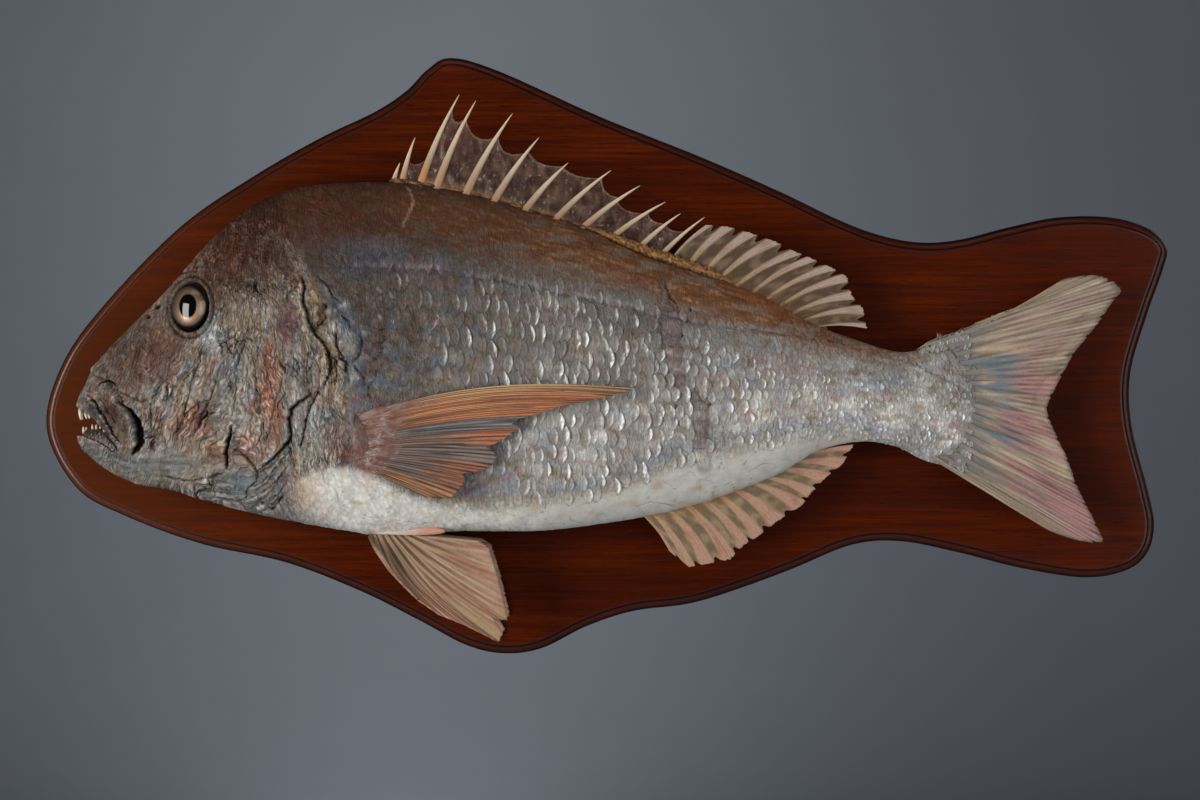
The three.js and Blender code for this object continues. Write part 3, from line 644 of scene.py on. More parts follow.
# ---- markings -----------------------------------------------------------------------------------
BACK_BROWN, BACK_DARK = tone(96, 62, 40), tone(60, 38, 26)
FLANK_GREY, FLANK_PALE = tone(150, 145, 139), tone(212, 210, 203)
BELLY_CREAM, BELLY_STAIN = tone(196, 193, 184), tone(186, 162, 130)
HEAD_GREY, HEAD_BROWN = tone(170, 157, 142), tone(110, 79, 58)
# Painted highlight for the crests of the head's flakes, and painted shade for its cracks and hollows.
CREST_HIGHLIGHT, HOLLOW_SHADE = tone(206, 202, 194), tone(14, 10, 8)
STRIP_MAUVE = tone(112, 96, 90)
# Local colours: middle [x, z], radii, tilt, colour, strength.
TINTS = [
    ((-372, 4), (60, 46), 40, (84, 52, 38), 0.9),  # bronze of the snout
    ((-355, -8), (40, 24), 38, (104, 50, 36), 0.65),  # its red
    ((-325, 37), (27, 31), 0, (78, 54, 38), 0.65),  # brown round the eye
    ((-352, 18), (20, 10), 40, (150, 108, 70), 0.4),
    ((-380, -16), (22, 10), 30, (120, 92, 74), 0.5),
    ((-350, -30), (20, 8), -20, (150, 150, 146), 0.6),
    ((-322, -52), (28, 20), 20, (172, 102, 70), 0.7),  # orange of the cheek
    ((-304, -34), (12, 36), -15, (150, 146, 138), 0.5),
    ((-260, -30), (12, 52), 2, (184, 104, 72), 0.75),  # streak down the gill cover
    ((-275, -72), (18, 16), 0, (176, 108, 78), 0.6),
    ((-246, 22), (17, 27), 10, (104, 50, 60), 0.85),  # wine red above it
    ((-283, -20), (10, 44), -6, (152, 150, 146), 0.6),  # the paler edge of the cheek plate
    ((-240, -16), (12, 44), 6, (162, 160, 156), 0.6),
    ((-306, 13), (16, 18), -40, (214, 220, 220), 0.85),  # silver below the eye
    ((-288, 22), (20, 26), 0, (134, 118, 92), 0.55),  # olive flakes behind it
    ((-292, -12), (13, 28), -15, (126, 138, 150), 0.5),
    ((-240, 108), (120, 54), 12, (76, 42, 28), 0.98),  # the nape
    ((-300, 74), (62, 44), 40, (96, 52, 34), 0.98),
    ((-262, 62), (44, 26), 20, (84, 52, 36), 0.7),
    ((-184, 76), (46, 20), -4, (86, 88, 102), 0.5),  # blue bloom behind the nape
    ((-196, 4), (14, 46), 6, (104, 120, 140), 0.55),
    ((-190, 40), (30, 22), 0, (96, 78, 70), 0.5),
    ((-226, 38), (9, 18), 10, (150, 122, 80), 0.7),  # gold beside the gill cover
    ((-225, 21), (7, 6), 0, (58, 32, 18), 0.9),
    ((-197, 7), (9, 17), 8, (160, 156, 136), 0.7),
    ((-213, -12), (7, 26), 4, (166, 142, 96), 0.7),
    ((-206, 30), (14, 26), 10, (112, 124, 134), 0.5),
    ((-352, -88), (66, 18), 4, (104, 104, 98), 1.0),  # grey of the lower jaw
    ((-376, -82), (30, 12), -14, (110, 115, 114), 0.9),
    ((-405, -78), (22, 12), -25, (106, 113, 114), 0.8),
    ((-290, -100), (26, 18), 15, (104, 113, 118), 0.9),
    ((-262, -102), (26, 24), -40, (120, 120, 122), 0.8),
    ((-232, -92), (15, 20), -20, (176, 166, 154), 0.75),  # pale skin behind the gill opening
    ((-350, -76), (22, 7), 8, (168, 172, 170), 0.6),
    ((-240, -54), (9, 30), 8, (180, 176, 172), 0.85),  # bare skin behind the gill cover
    ((-226, -52), (9, 28), 4, (190, 192, 194), 0.75),
    ((-216, -66), (16, 18), 0, (186, 172, 166), 0.6),
    ((-277, 54), (9, 8), 0, (160, 140, 124), 0.8),
    ((-228, -78), (18, 20), 0, (178, 170, 152), 0.7),
    ((-384, -50), (26, 18), -55, (72, 44, 32), 1.1),  # upper jaw bone
    ((-391, -35), (11, 7), -50, (140, 84, 60), 0.7),
    ((-378, -66), (8, 12), 20, (124, 104, 84), 0.6),
    ((-404, -42), (22, 9), -45, (76, 68, 62), 1.1),  # upper lip
    ((-391, -58), (16, 6), -58, (64, 52, 44), 1.0),
    ((-404, -22), (9, 14), -20, (116, 108, 100), 0.7),
    ((-196, -70), (26, 26), 0, (128, 74, 64), 0.75),  # root of the breast fin
    ((-200, -60), (10, 18), 0, (160, 150, 146), 0.5),
    # painted shadow along the upper edge of the breast fin's root
    ((-186, -50), (26, 8), 0, (70, 46, 32), 0.7),
    ((124, 44), (46, 11), -26, (150, 82, 46), 0.7),  # along the soft back fin
    ((-120, 110), (80, 22), -10, (110, 68, 42), 0.5),
    ((-140, 62), (60, 16), -6, (112, 84, 96), 0.45),
    ((-60, 34), (60, 16), -14, (136, 108, 112), 0.35),
    ((-100, -40), (70, 40), 0, (126, 118, 108), 0.5),
    ((140, -10), (46, 16), -10, (168, 138, 134), 0.4),
    ((240, -66), (40, 18), 0, (118, 116, 112), 0.6),
    ((270, -80), (22, 14), 20, (104, 102, 98), 0.8),
    ((256, 6), (30, 10), 0, (116, 108, 98), 0.7),
]
# Patches of other colours: colour, strength, size, seed, and the noise from low to high.
FLANK_STAINS = [((124, 138, 154), 0.42, (30, 16), 95, 0.05, 0.8),
                ((152, 110, 104), 0.40, (15, 10), 96, 0.1, 0.8),
                ((128, 108, 78), 0.60, (12, 9), 97, 0.1, 0.7)]
SHOULDER_STAINS = [((122, 140, 162), 0.65, (20, 14), 106, 0.0, 0.5),
                   ((142, 92, 98), 0.60, (13, 10), 107, 0.05, 0.5),
                   ((142, 126, 92), 0.60, (11, 9), 108, 0.1, 0.5)]
HEAD_STAINS = [((146, 84, 58), 0.6, (7, 22), 102, 0.0, 0.6), ((172, 142, 102), 0.5, (6, 16), 103, 0.1, 0.6),
               ((140, 152, 162), 0.6, (5, 20), 104, 0.1, 0.6)]


def marking(x, z):
    """The colours of the fish's side, which skin and scales share."""
    wander = 5 * noise_at(x, z, 30, 90) + 2.5 * noise_at(x, z, 9, 91)
    streak = noise_at(x + 0.25 * z + wander, z + 0.28 * x + 0.4 * wander, (15, 3.0), 92)
    fine = noise_at(x, z, 3.2, 93)
    pale = 0.45 * blotches(x, z, (26, 17), 94, -0.4, 0.9) * ramp(x, -150, -20)
    colour = stained(mix(FLANK_GREY, FLANK_PALE, pale), x, z, FLANK_STAINS)
    front = ramp(x, 20, -200)
    behind_head = ramp(x, -40, -120) * ramp(x + wander, -236, -212)
    colour = stained(colour, x, z, SHOULDER_STAINS, behind_head)
    colour = colour * (1 - 0.45 * front * ramp(z, -110, 10))[..., None]
    dusk = 0.45 * front * ramp(z, -70, 50) * (0.7 + 0.8 * noise_at(x, z, 14, 89))
    colour = mix(colour, tone(100, 80, 66), dusk)
    colour = colour * (1 + 0.28 * ramp(z, -10, -70) * ramp(x, -140, -40))[..., None]
    colour = colour * (1 + 0.45 * ramp(x, 60, 160) * ramp(x, 292, 250))[..., None]
    from_line = z - LATERAL(x) + 0.25 * wander
    # Painted highlights flecked along the lateral line.
    lit = blotches(x, z, (4, 9), 105, -0.3, 0.4) * ramp(x, -206, -190)
    colour = mix(colour, tone(196, 190, 200), 0.85 * lit * np.exp(-((from_line - 1.5) / 2.4) ** 2))
    colour = colour * (1 - 0.4 * np.exp(-((from_line + 2) / 0.9) ** 2))[..., None]
    above = z - BROWN_EDGE(x) + wander
    colour = colour * (1 - 0.38 * ramp(above, -46, 4))[..., None]
    upper = ramp(above, -115, -55) * ramp(x, 110, 20)
    colour = colour * (1 - np.array([0.20, 0.23, 0.27]) * upper[..., None])
    brown = mix(BACK_BROWN, BACK_DARK, ramp(streak + 0.8 * fine, -0.2, 0.8) * 0.65)
    brown = mix(brown, tone(146, 104, 70), 0.5 * ramp(-streak + 0.8 * fine, 0.1, 0.8))
    brown = mix(brown, tone(98, 90, 76), 0.6 * blotches(x, z, (22, 8), 109, 0.0, 0.6))
    brown = brown * (0.70 + 0.98 * ramp(x, -140, 20))[..., None]
    colour = mix(colour, brown, ramp(above + 7 * noise_at(x, z, (5, 3), 112), -12, 16) * ramp(x, 262, 226))
    head = head_share(x, z)
    skin = mix(HEAD_GREY, HEAD_BROWN, np.clip(0.25 + 0.5 * noise_at(x, z, 22, 98), 0, 1))
    skin = stained(skin, *flow(x, z), HEAD_STAINS)
    colour = mix(colour, skin, head * ramp(above, 20, -6) * ramp(z, -125, -85))
    band = z - BELLY_EDGE(x)
    colour = mix(colour, tone(138, 150, 160), 0.4 * np.exp(-((band - 12) / 9) ** 2) * ramp(x, -40, 40))
    colour = mix(colour, tone(188, 180, 160), 0.6 * ramp(band + wander, 14, 2) * ramp(x, -170, -120))
    broken = 0.8 + 0.35 * noise_at(x, z, (7, 12), 99)
    for centre, radii, tilt, tint, strength in TINTS:
        share = np.clip(strength * broken * spot(x, z, centre, radii, tilt), 0, 1)
        colour = mix(colour, tone(*tint), share)
    cream = mix(BELLY_CREAM, BELLY_STAIN, 0.6 * ramp(noise_at(x, z, (16, 8), 100) + 0.3 * fine, 0.1, 0.8))
    colour = mix(colour, tone(184, 158, 132), 0.7 * spot(x, z, (-232, -108), (26, 20), 10))
    cream = cream * (1 - 0.18 * ramp(x, -110, -20))[..., None]
    colour = mix(colour, cream, ramp(band + wander, 7, -7) * ramp(x + wander, -246, -206) * ramp(x, 222, 190))
    colour = mix(colour, STRIP_MAUVE, 0.8 * strip_share(x, z) * ramp(z, -84, -70))
    plaster = ramp(band, 4, -6)
    return colour * (1 + (0.16 * fine + 0.12 * streak) * (1 - 0.8 * plaster))[..., None]


def silver(x, z):
    """How much the skin shines like metal: on the flank, but not on back, belly or head."""
    return (ramp(z - BROWN_EDGE(x), 6, -22) * ramp(z - BELLY_EDGE(x), -2, 10)
            * (1 - head_share(x, z)) * (1 - strip_share(x, z)))


# ---- meshes -------------------------------------------------------------------------------------
def outward(points, faces):
    """The faces of a closed shape, turned so that they all face out."""
    volume = 0.0
    for group in faces:
        first = points[group[:, 0]]
        for k in range(1, group.shape[1] - 1):
            volume += np.einsum("ij,ij->", np.cross(points[group[:, k]], points[group[:, k + 1]]), first)
    return faces if volume > 0 else [group[:, ::-1] for group in faces]


def piece(name, points, faces, material, colours=None, values=None, patches=None, closed=True):
    """A mesh object from points in mm and faces of one or more equal lengths, with what its material
    reads at each point: colours, named values, and a map that gives each face corner its patch."""
    points = np.asarray(points, float)
    faces = outward(points, faces) if closed else faces
    mesh = bpy.data.meshes.new(name)
    loops = np.concatenate([f.ravel() for f in faces]).astype(np.int32)
    totals = np.concatenate([np.full(len(f), f.shape[1]) for f in faces]).astype(np.int32)
    starts = np.concatenate([[0], np.cumsum(totals)[:-1]]).astype(np.int32)
    mesh.vertices.add(len(points))
    mesh.vertices.foreach_set("co", (np.asarray(points) * MM).astype(np.float32).ravel())
    mesh.loops.add(len(loops))
    mesh.loops.foreach_set("vertex_index", loops)
    mesh.polygons.add(len(totals))
    mesh.polygons.foreach_set("loop_start", starts)
    mesh.polygons.foreach_set("loop_total", totals)
    mesh.update(calc_edges=True)
    mesh.validate()
    mesh.shade_smooth()
    paint(mesh, colours, values)
    if patches is not None:
        uv = mesh.uv_layers.new(name="OFBake")
        uv.data.foreach_set("uv", patches[loops].astype(np.float32).ravel())
    obj = bpy.data.objects.new(name, mesh)
    bpy.context.scene.collection.objects.link(obj)
    mesh.materials.append(material)
    return obj


def paint(mesh, colours=None, values=None):
    """Gives a mesh the colours and named values that its material reads at each point."""
    if colours is not None:
        layer = mesh.attributes.new("marking", "FLOAT_COLOR", "POINT")
        filled = np.concatenate([np.clip(colours, 0, 1), np.ones((len(colours), 1))], axis=1)
        layer.data.foreach_set("color", filled.astype(np.float32).ravel())
    for key, value in (values or {}).items():
        if np.ndim(value) == 2:
            layer = mesh.attributes.new(key, "FLOAT_VECTOR", "POINT")
            layer.data.foreach_set("vector", np.asarray(value, np.float32).ravel())
        else:
            layer = mesh.attributes.new(key, "FLOAT", "POINT")
            layer.data.foreach_set("value", np.broadcast_to(value, len(mesh.vertices)).astype(np.float32))


def read_points(obj):
    co = np.empty(len(obj.data.vertices) * 3, np.float32)
    obj.data.vertices.foreach_get("co", co)
    return co.reshape(-1, 3).astype(float) / MM


def write_points(obj, points):
    obj.data.vertices.foreach_set("co", (points * MM).astype(np.float32).ravel())
    obj.data.update()


def read_normals(obj):
    n = np.empty(len(obj.data.vertices) * 3, np.float32)
    obj.data.vertex_normals.foreach_get("vector", n)
    return n.reshape(-1, 3).astype(float)


def grid_faces(rows, columns, wrap=False, start=0, flip=False):
    """Quads between neighbours of a grid of points, rows by columns."""
    r = np.arange(rows - 1)[:, None]
    c = np.arange(columns if wrap else columns - 1)[None, :]
    right = (c + 1) % columns
    quads = np.stack([r * columns + c, r * columns + right, (r + 1) * columns + right,
                      (r + 1) * columns + c], -1).reshape(-1, 4) + start
    return quads[:, ::-1] if flip else quads


def grid_rim(rows, columns):
    """The numbers of the points round the edge of a grid, in order."""
    size = rows * columns
    return np.concatenate([np.arange(columns), np.arange(2, rows) * columns - 1,
                           np.arange(size - 1, size - columns - 1, -1), np.arange(rows - 2, 0, -1) * columns])


def plate_faces(rows, columns, start=0):
    """Faces of a closed plate between two grids of points that follow each other."""
    size, rim = rows * columns, grid_rim(rows, columns)
    front, after = grid_faces(rows, columns), np.roll(rim, -1)
    wall = np.stack([rim, rim + size, after + size, after], -1)
    return np.concatenate([front, front[:, ::-1] + size, wall]) + start


def tube_faces(count, sides, start=0, flip=False):
    """Faces of a closed tube through rings of points: its side, its first end and its last."""
    ends = [np.arange(sides)[None, ::-1] + start, np.arange(sides)[None] + start + (count - 1) * sides]
    if flip:
        ends = [end[:, ::-1] for end in ends]
    return [grid_faces(count, sides, wrap=True, start=start, flip=flip), *ends]


def ride(obj, slot, *nodes):
    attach(obj, "root")
    if nodes:
        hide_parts(*nodes)
    return obj


def cut(obj, cutter):
    """Takes the cutter's solid away from a piece and removes the cutter."""
    tool = obj.modifiers.new("cut", "BOOLEAN")
    tool.operation = "DIFFERENCE"
    tool.solver = "MANIFOLD"
    tool.object = cutter
    evaluated = obj.evaluated_get(bpy.context.evaluated_depsgraph_get())
    mesh = bpy.data.meshes.new_from_object(evaluated)
    obj.modifiers.clear()
    old = obj.data
    obj.data = mesh
    bpy.data.meshes.remove(old)
    bpy.data.objects.remove(cutter)
    mesh.shade_smooth()


def tube(rings, material, name, colours=None, values=None):
    """A closed piece through rings of equal count, its ends capped."""
    rings = np.asarray(rings, float)
    return piece(name, rings.reshape(-1, 3), tube_faces(*rings.shape[:2]), material, colours, values)


# ---- materials ----------------------------------------------------------------------------------
CRUMPLE_SIZE = 0.0026               # width of the crumples in thin skin, metres


class Nodes:
    """Builds a material's node tree around its Principled shader."""

    def __init__(self, name, **settings):
        self.material = bpy.data.materials.new(name)
        self.material.use_nodes = True
        self.tree = self.material.node_tree
        self.shader = self.tree.nodes["Principled BSDF"]
        for key, value in settings.items():
            self.shader.inputs[key.replace("_", " ")].default_value = value
        self.object_place = self.add("ShaderNodeTexCoord").outputs["Object"]

    def add(self, kind, **settings):
        node = self.tree.nodes.new(kind)
        for key, value in settings.items():
            if isinstance(value, bpy.types.NodeSocket):
                self.tree.links.new(value, node.inputs[key.replace("_", " ")])
            elif hasattr(node, key):
                setattr(node, key, value)
            else:
                node.inputs[key.replace("_", " ")].default_value = value
        return node

    def to_shader(self, key, socket):
        self.tree.links.new(socket, self.shader.inputs[key])

    def attribute(self, name, output="Color"):
        return self.add("ShaderNodeAttribute", attribute_name=name).outputs[output]

    def stretched(self, place, sizes):
        """The place in units of the features' size along each axis."""
        node = self.add("ShaderNodeMapping", Vector=place)
        node.inputs["Scale"].default_value = [1 / size for size in sizes]
        return node.outputs[0]

    def noise(self, size, stretch=(1, 1, 1), detail=4.0, roughness=0.55, distortion=0.0):
        """Noise whose features are about size metres across, drawn out by stretch."""
        place = self.stretched(self.object_place, [size * s for s in stretch])
        return self.add("ShaderNodeTexNoise", Vector=place, Scale=1, Detail=detail, Roughness=roughness,
                        Distortion=distortion).outputs["Fac"]

    def spread(self, socket, low, high, start=0.0, end=1.0):
        """The socket's values from low to high, spread from start to end."""
        return self.add("ShaderNodeMapRange", Value=socket, From_Min=low, From_Max=high, To_Min=start,
                        To_Max=end).outputs[0]

    def blend(self, share, a, b):
        """The colour a where the share is 0 and b where it is 1."""
        node = self.add("ShaderNodeMix", data_type="RGBA", blend_type="MIX")
        for index, value in ((0, share), (6, a), (7, b)):
            if isinstance(value, bpy.types.NodeSocket):
                self.tree.links.new(value, node.inputs[index])
            elif index:
                node.inputs[index].default_value = (*value, 1)
            else:
                node.inputs[index].default_value = value
        return node.outputs[2]

    def scale(self, colour, socket):
        """The colour times a number for each place."""
        return self.add("ShaderNodeVectorMath", operation="SCALE", Vector=colour, Scale=socket).outputs[0]

    def math(self, operation, *sockets, **settings):
        node = self.add("ShaderNodeMath", operation=operation, **settings)
        for index, socket in enumerate(sockets):
            self.tree.links.new(socket, node.inputs[index])
        return node.outputs[0]

    def cracks(self, place, size):
        """1 in the cracks between cells about size mm across and 0 inside them."""
        place = self.stretched(place, (size[0], 1, size[1]))
        node = self.add("ShaderNodeTexVoronoi", feature="DISTANCE_TO_EDGE", Vector=place, Scale=1)
        return self.spread(node.outputs["Distance"], 0.0, 0.24, 1.0, 0.0)

    def fibres(self, place, size):
        """Fine streaks about size mm across and long, from -1 to 1."""
        place = self.stretched(place, (size[0], 1, size[1]))
        node = self.add("ShaderNodeTexNoise", Vector=place, Scale=1, Detail=3, Roughness=0.6)
        return self.spread(node.outputs["Fac"], 0.34, 0.66, -1, 1)

    def bump(self, socket, height, below=None):
        """The normal of a surface that stands height metres proud where the socket is 1."""
        lower = {} if below is None else {"Normal": below}
        return self.add("ShaderNodeBump", Height=socket, invert=height < 0, Strength=1.0,
                        Distance=abs(height), **lower).outputs[0]


def flesh_material(name, grain, grain_height, mottle, coat=0.0, wrinkled=False, film=False, crumple=0.0):
    """Dried, varnished skin whose colour, metal and roughness come with its mesh, with fine grain. Deep
    hollows have no shine. On wrinkled skin the colour carries painted shade in fine cracks and painted
    light and shade along the wrinkles; on scales, painted light and shade along the crumples."""
    m = Nodes(name, Coat_Roughness=0.16, IOR=1.48)
    for key, full in (("Coat Weight", coat), ("Specular IOR Level", 0.45)):
        m.to_shader(key, m.spread(m.attribute("hollow", "Fac"), 0, 0.7, full, 0))
    speckle = m.noise(grain * 2.5, detail=5, roughness=0.6)
    colour = m.scale(m.attribute("marking"), m.spread(speckle, 0.25, 0.75, 1 - mottle, 1 + mottle))
    rough = m.math("MULTIPLY_ADD", m.spread(m.noise(grain * 4), 0.3, 0.7, 0.8, 1.2),
                   m.attribute("rough", "Fac"), use_clamp=True)
    normal = m.bump(m.noise(grain, detail=3), grain_height)
    if crumple:
        creased = m.noise(CRUMPLE_SIZE, (0.6, 1, 1.7), detail=5, roughness=0.65)
        if not wrinkled:
            # Colour follows the crumples of the bump: painted light and shade on them.
            colour = m.scale(colour, m.spread(creased, 0.35, 0.65, 0.74, 1.26))
        else:
            creased = m.math("MULTIPLY", creased,
                             m.spread(m.attribute("wrinkle", "Fac"), 0.05, 0.4, 0.2, 1.0))
        normal = m.bump(creased, crumple, below=normal)
    if wrinkled:
        weight = m.attribute("wrinkle", "Fac")
        streaked = m.math("MULTIPLY", m.fibres(m.attribute("flow", "Vector"), (1.3, 4.5)), weight)
        normal = m.bump(streaked, 0.0004, below=normal)
        # Colour follows the wrinkles of the bump: painted light and shade on them.
        colour = m.scale(colour, m.spread(streaked, -1, 1, 0.78, 1.26))
        # Darker in the fine cracks of the bump: painted shade.
        for size, depth, dark in (((3.1, 9.5), 0.0006, 0.46), ((1.9, 4.2), 0.0003, 0.24)):
            deep = m.math("MULTIPLY", m.cracks(m.attribute("flow", "Vector"), size), weight)
            normal = m.bump(deep, -depth, below=normal)
            colour = m.scale(colour, m.spread(deep, 0, 1, 1, 1 - dark))
    if film:
        m.to_shader("Alpha", m.attribute("cover", "Fac"))
    for key, socket in (("Base Color", colour), ("Metallic", m.attribute("metal", "Fac")),
                        ("Roughness", rough), ("Normal", normal), ("Coat Normal", normal)):
        m.to_shader(key, socket)
    return m.material


def wood_material():
    """Mahogany: long horizontal grain with open pores, under satin varnish, with painted light towards the
    left end, and stain and painted shade along the moulded edge as the mesh gives them.
    """
    m = Nodes("mahogany", Coat_Roughness=0.05, IOR=1.3)
    stain = m.attribute("stain", "Fac")
    m.to_shader("Coat Weight", m.spread(stain, 0, 0.7, 0.20, 0))
    m.to_shader("Specular IOR Level", m.spread(stain, 0, 0.7, 0.5, 0.12))
    figure = m.noise(0.05, (9, 1, 1), detail=3, distortion=0.4)
    grain = m.noise(0.0035, (26, 1, 1), detail=5, roughness=0.65)
    pores = m.noise(0.0009, (14, 1, 1), detail=2)
    colour = m.blend(m.spread(figure, 0.3, 0.7), tone(56, 14, 1), tone(90, 30, 3))
    colour = m.blend(m.spread(grain, 0.4, 0.6, 0, 0.8), colour, tone(55, 14, 2))
    colour = m.blend(m.spread(pores, 0.58, 0.72, 0, 0.8), colour, tone(30, 9, 2))
    colour = m.scale(colour, m.spread(m.noise(0.0013, (60, 1, 1), detail=3), 0.35, 0.65, 0.84, 1.16))
    # Lighter, more orange wood towards the left end: painted light and sheen from the lamp on the left.
    place = m.add("ShaderNodeSeparateXYZ", Vector=m.object_place)
    lit_left_end = m.spread(place.outputs["X"], -0.44, -0.22, 0.34, 0)
    colour = m.blend(lit_left_end, colour, tone(108, 58, 29))
    m.to_shader("Base Color", m.blend(stain, colour, tone(20, 11, 8)))
    m.to_shader("Roughness", m.math("ADD", m.spread(grain, 0.3, 0.7, 0.15, 0.24),
                                    m.spread(stain, 0, 0.8, 0, 0.4)))
    m.to_shader("Normal", m.bump(pores, 0.00006))
    return m.material


def brass_material():
    """Aged brass: dulled in clouds, with turned scratches."""
    m = Nodes("brass", Metallic=1.0)
    cloud = m.noise(0.003, detail=4)
    m.to_shader("Base Color", m.blend(m.spread(cloud, 0.4, 0.65), tone(196, 158, 92), tone(120, 88, 48)))
    m.to_shader("Roughness", m.spread(cloud, 0.35, 0.7, 0.28, 0.55))
    m.to_shader("Normal", m.bump(m.noise(0.0004, (8, 1, 1), detail=2), 0.00003))
    return m.material


def eye_material():
    """The painted iris and the clear glass over it."""
    m = Nodes("eye_glass", Coat_Weight=1.0, Coat_Roughness=0.02, Coat_IOR=1.52, Roughness=0.4, IOR=1.05)
    speckle = m.noise(0.0012, detail=4)
    m.to_shader("Base Color", m.scale(m.attribute("marking"), m.spread(speckle, 0.3, 0.7, 0.86, 1.14)))
    m.to_shader("Metallic", m.attribute("metal", "Fac"))
    return m.material


def plain_material(name, colour, roughness):
    m = Nodes(name, Roughness=roughness)
    cloud = m.noise(0.4, detail=2)
    dark = tuple(c * 0.97 for c in colour)
    m.to_shader("Base Color", m.blend(m.spread(cloud, 0.3, 0.7), dark, colour))
    return m.material


# ---- board --------------------------------------------------------------------------------------
# Edge moulding from the back: inset from the outline, y, and how dark it is made there: dark stain
# on the outer side and the bevel, and painted shade in the crease between bevel and face.
MOULDING = [(1.2, 0, 1), (0.2, -0.5, 1), (0, -1.5, 1), (0, -9.5, 1), (0.2, -11.5, 1), (0.8, -13.4, 1),
            (1.8, -15.0, 0.7), (3.0, -16.0, 0.35), (4.2, -16.6, 0.25), (5.2, -16.9, 0.4), (6.0, -17.0, 1),
            (6.3, -17.3, 1), (6.5, -18.6, 0.8), (6.8, -19.4, 0.45), (7.3, -19.85, 0.3), (8.4, -20, 0.15),
            (10.5, -20, 0.05), (13, -20, 0)]
BOARD_STEP = 2.0                    # mm between points of the outline
HOLE_SIDES = 40


def board_outline():
    """Points of the outline, even along it, with the direction inwards at each."""
    p = np.array(BOARD_OUTLINE, float)
    closed = np.vstack([p[-1], p, p[0], p[1]])
    fine = curve(closed, 0.5)
    first = np.argmin(np.linalg.norm(fine - p[0], axis=1))
    last = len(fine) - 1 - np.argmin(np.linalg.norm(fine[::-1][:400] - p[0], axis=1))
    fine = fine[first:last + 1]
    count = int(np.linalg.norm(np.diff(fine, axis=0), axis=1).sum() / BOARD_STEP)
    points = along(fine, np.arange(count) / count)
    run = unit(np.roll(points, -2, 0) - np.roll(points, 2, 0))
    return points, np.stack([run[:, 1], -run[:, 0]], -1)


def screw_room(place):
    """The countersunk hole for a screw from the board's back."""
    head, shank, sink = SCREW_ROOM["head"], SCREW_ROOM["shank"], -SCREW_ROOM["recess"]
    profile = [(head, 2), (head, sink), (shank, sink - SCREW_ROOM["sink"]), (shank, BOARD_FRONT - 6)]
    turn = circle(HOLE_SIDES)
    rings = [np.stack([place[0] + r * np.cos(turn), 0 * turn + y, place[1] + r * np.sin(turn)], -1)
             for r, y in profile]
    return tube(rings, WOOD, "screw_room")


def make_board():
    """The board with its moulded edge and the holes for its screws."""
    points, inward = board_outline()
    rings, stain = [], []
    for inset, y, dark in MOULDING:
        x, z = (points + inward * inset).T
        rings.append(np.stack([x, np.full(len(x), float(y)), z], -1))
        # Over the bevel and the crease, the stain and painted shade are fainter towards the left end.
        fainter_at_left = 0.35 + 0.65 * ramp(x, -390, -240) if -19.9 < y < -14 else 1
        stain.append(np.full(len(x), float(dark)) * fainter_at_left)
    board = tube(rings, WOOD, "board_wood", values={"stain": np.concatenate(stain)})
    for place in SCREWS:
        cut(board, screw_room(place))
    board.data.shade_flat()
    rounded = np.array([len(p.vertices) == 4 and abs(p.normal[1]) < 0.98 for p in board.data.polygons])
    board.data.polygons.foreach_set("use_smooth", rounded)
    ride(board, "board_wood", "board")


# ---- skin ---------------------------------------------------------------------------------------
COAT = 1.5                          # how deep the skin lies below the tips of the scales
MOUTH_SPAN = (-100, -4)             # y over which the gap between the jaws is cut, wider than the head
LIP_SOFTNESS, LIP_ROUNDS = 2.4, 10  # how far the mouth's cut edges are rounded, and how often


def skin_stations():
    """Places along the body, closest over the head."""
    spans = [(SNOUT_X, -416, 0.5), (-416, -205, 0.7), (-205, 240, 1.5), (240, 288, 1.2),
             (288, ROOT_X, 0.6)]
    return np.concatenate([np.arange(a, b, step) for a, b, step in spans] + [[ROOT_X]])


def skin_shares():
    """Shares round a section: the near half, then the far half, coarse where it is sawn flat."""
    near = np.linspace(0, 1, 400, endpoint=False)
    spans = ((1, 1.26, 36), (1.26, 1.74, 14), (1.74, 2, 36))
    far = [np.linspace(a, b, n, endpoint=False) for a, b, n in spans]
    return np.concatenate([near, *far])


def mouth_room():
    """The gap between the jaws, as a fine-meshed solid right across the head."""
    outline = curve(MOUTH + [MOUTH[0]], 1.0)[:-1]
    rings = [np.stack([outline[:, 0], np.full(len(outline), y), outline[:, 1]], -1)
             for y in np.arange(*MOUTH_SPAN, 1.5)]
    return tube(rings[::-1], WOOD, "mouth_room")


def smooth_near_mouth(obj):
    """Rounds the lips by evening out the points round the mouth's gap."""
    points = read_points(obj)
    outline = curve(MOUTH + [MOUTH[0]], 1.0)
    close = np.flatnonzero((points[:, 0] < -378) & (points[:, 2] < -38) & (points[:, 2] > -88))
    d = np.min(np.linalg.norm(points[close][:, None, [0, 2]] - outline[None], axis=2), axis=1)
    weight = np.zeros(len(points))
    weight[close] = ramp(d, LIP_SOFTNESS, 0.8)
    edges = np.empty(len(obj.data.edges) * 2, np.int32)
    obj.data.edges.foreach_get("vertices", edges)
    a, b = edges.reshape(-1, 2).T
    keep = (weight[a] > 0) | (weight[b] > 0)
    a, b = a[keep], b[keep]
    for _ in range(LIP_ROUNDS):
        total, count = np.zeros_like(points), np.zeros(len(points))
        for p, q in ((a, b), (b, a)):
            np.add.at(total, p, points[q])
            np.add.at(count, p, 1)
        moved = count > 0
        mean = total[moved] / count[moved][:, None]
        points[moved] += (mean - points[moved]) * (0.6 * weight[moved])[:, None]
    write_points(obj, points)


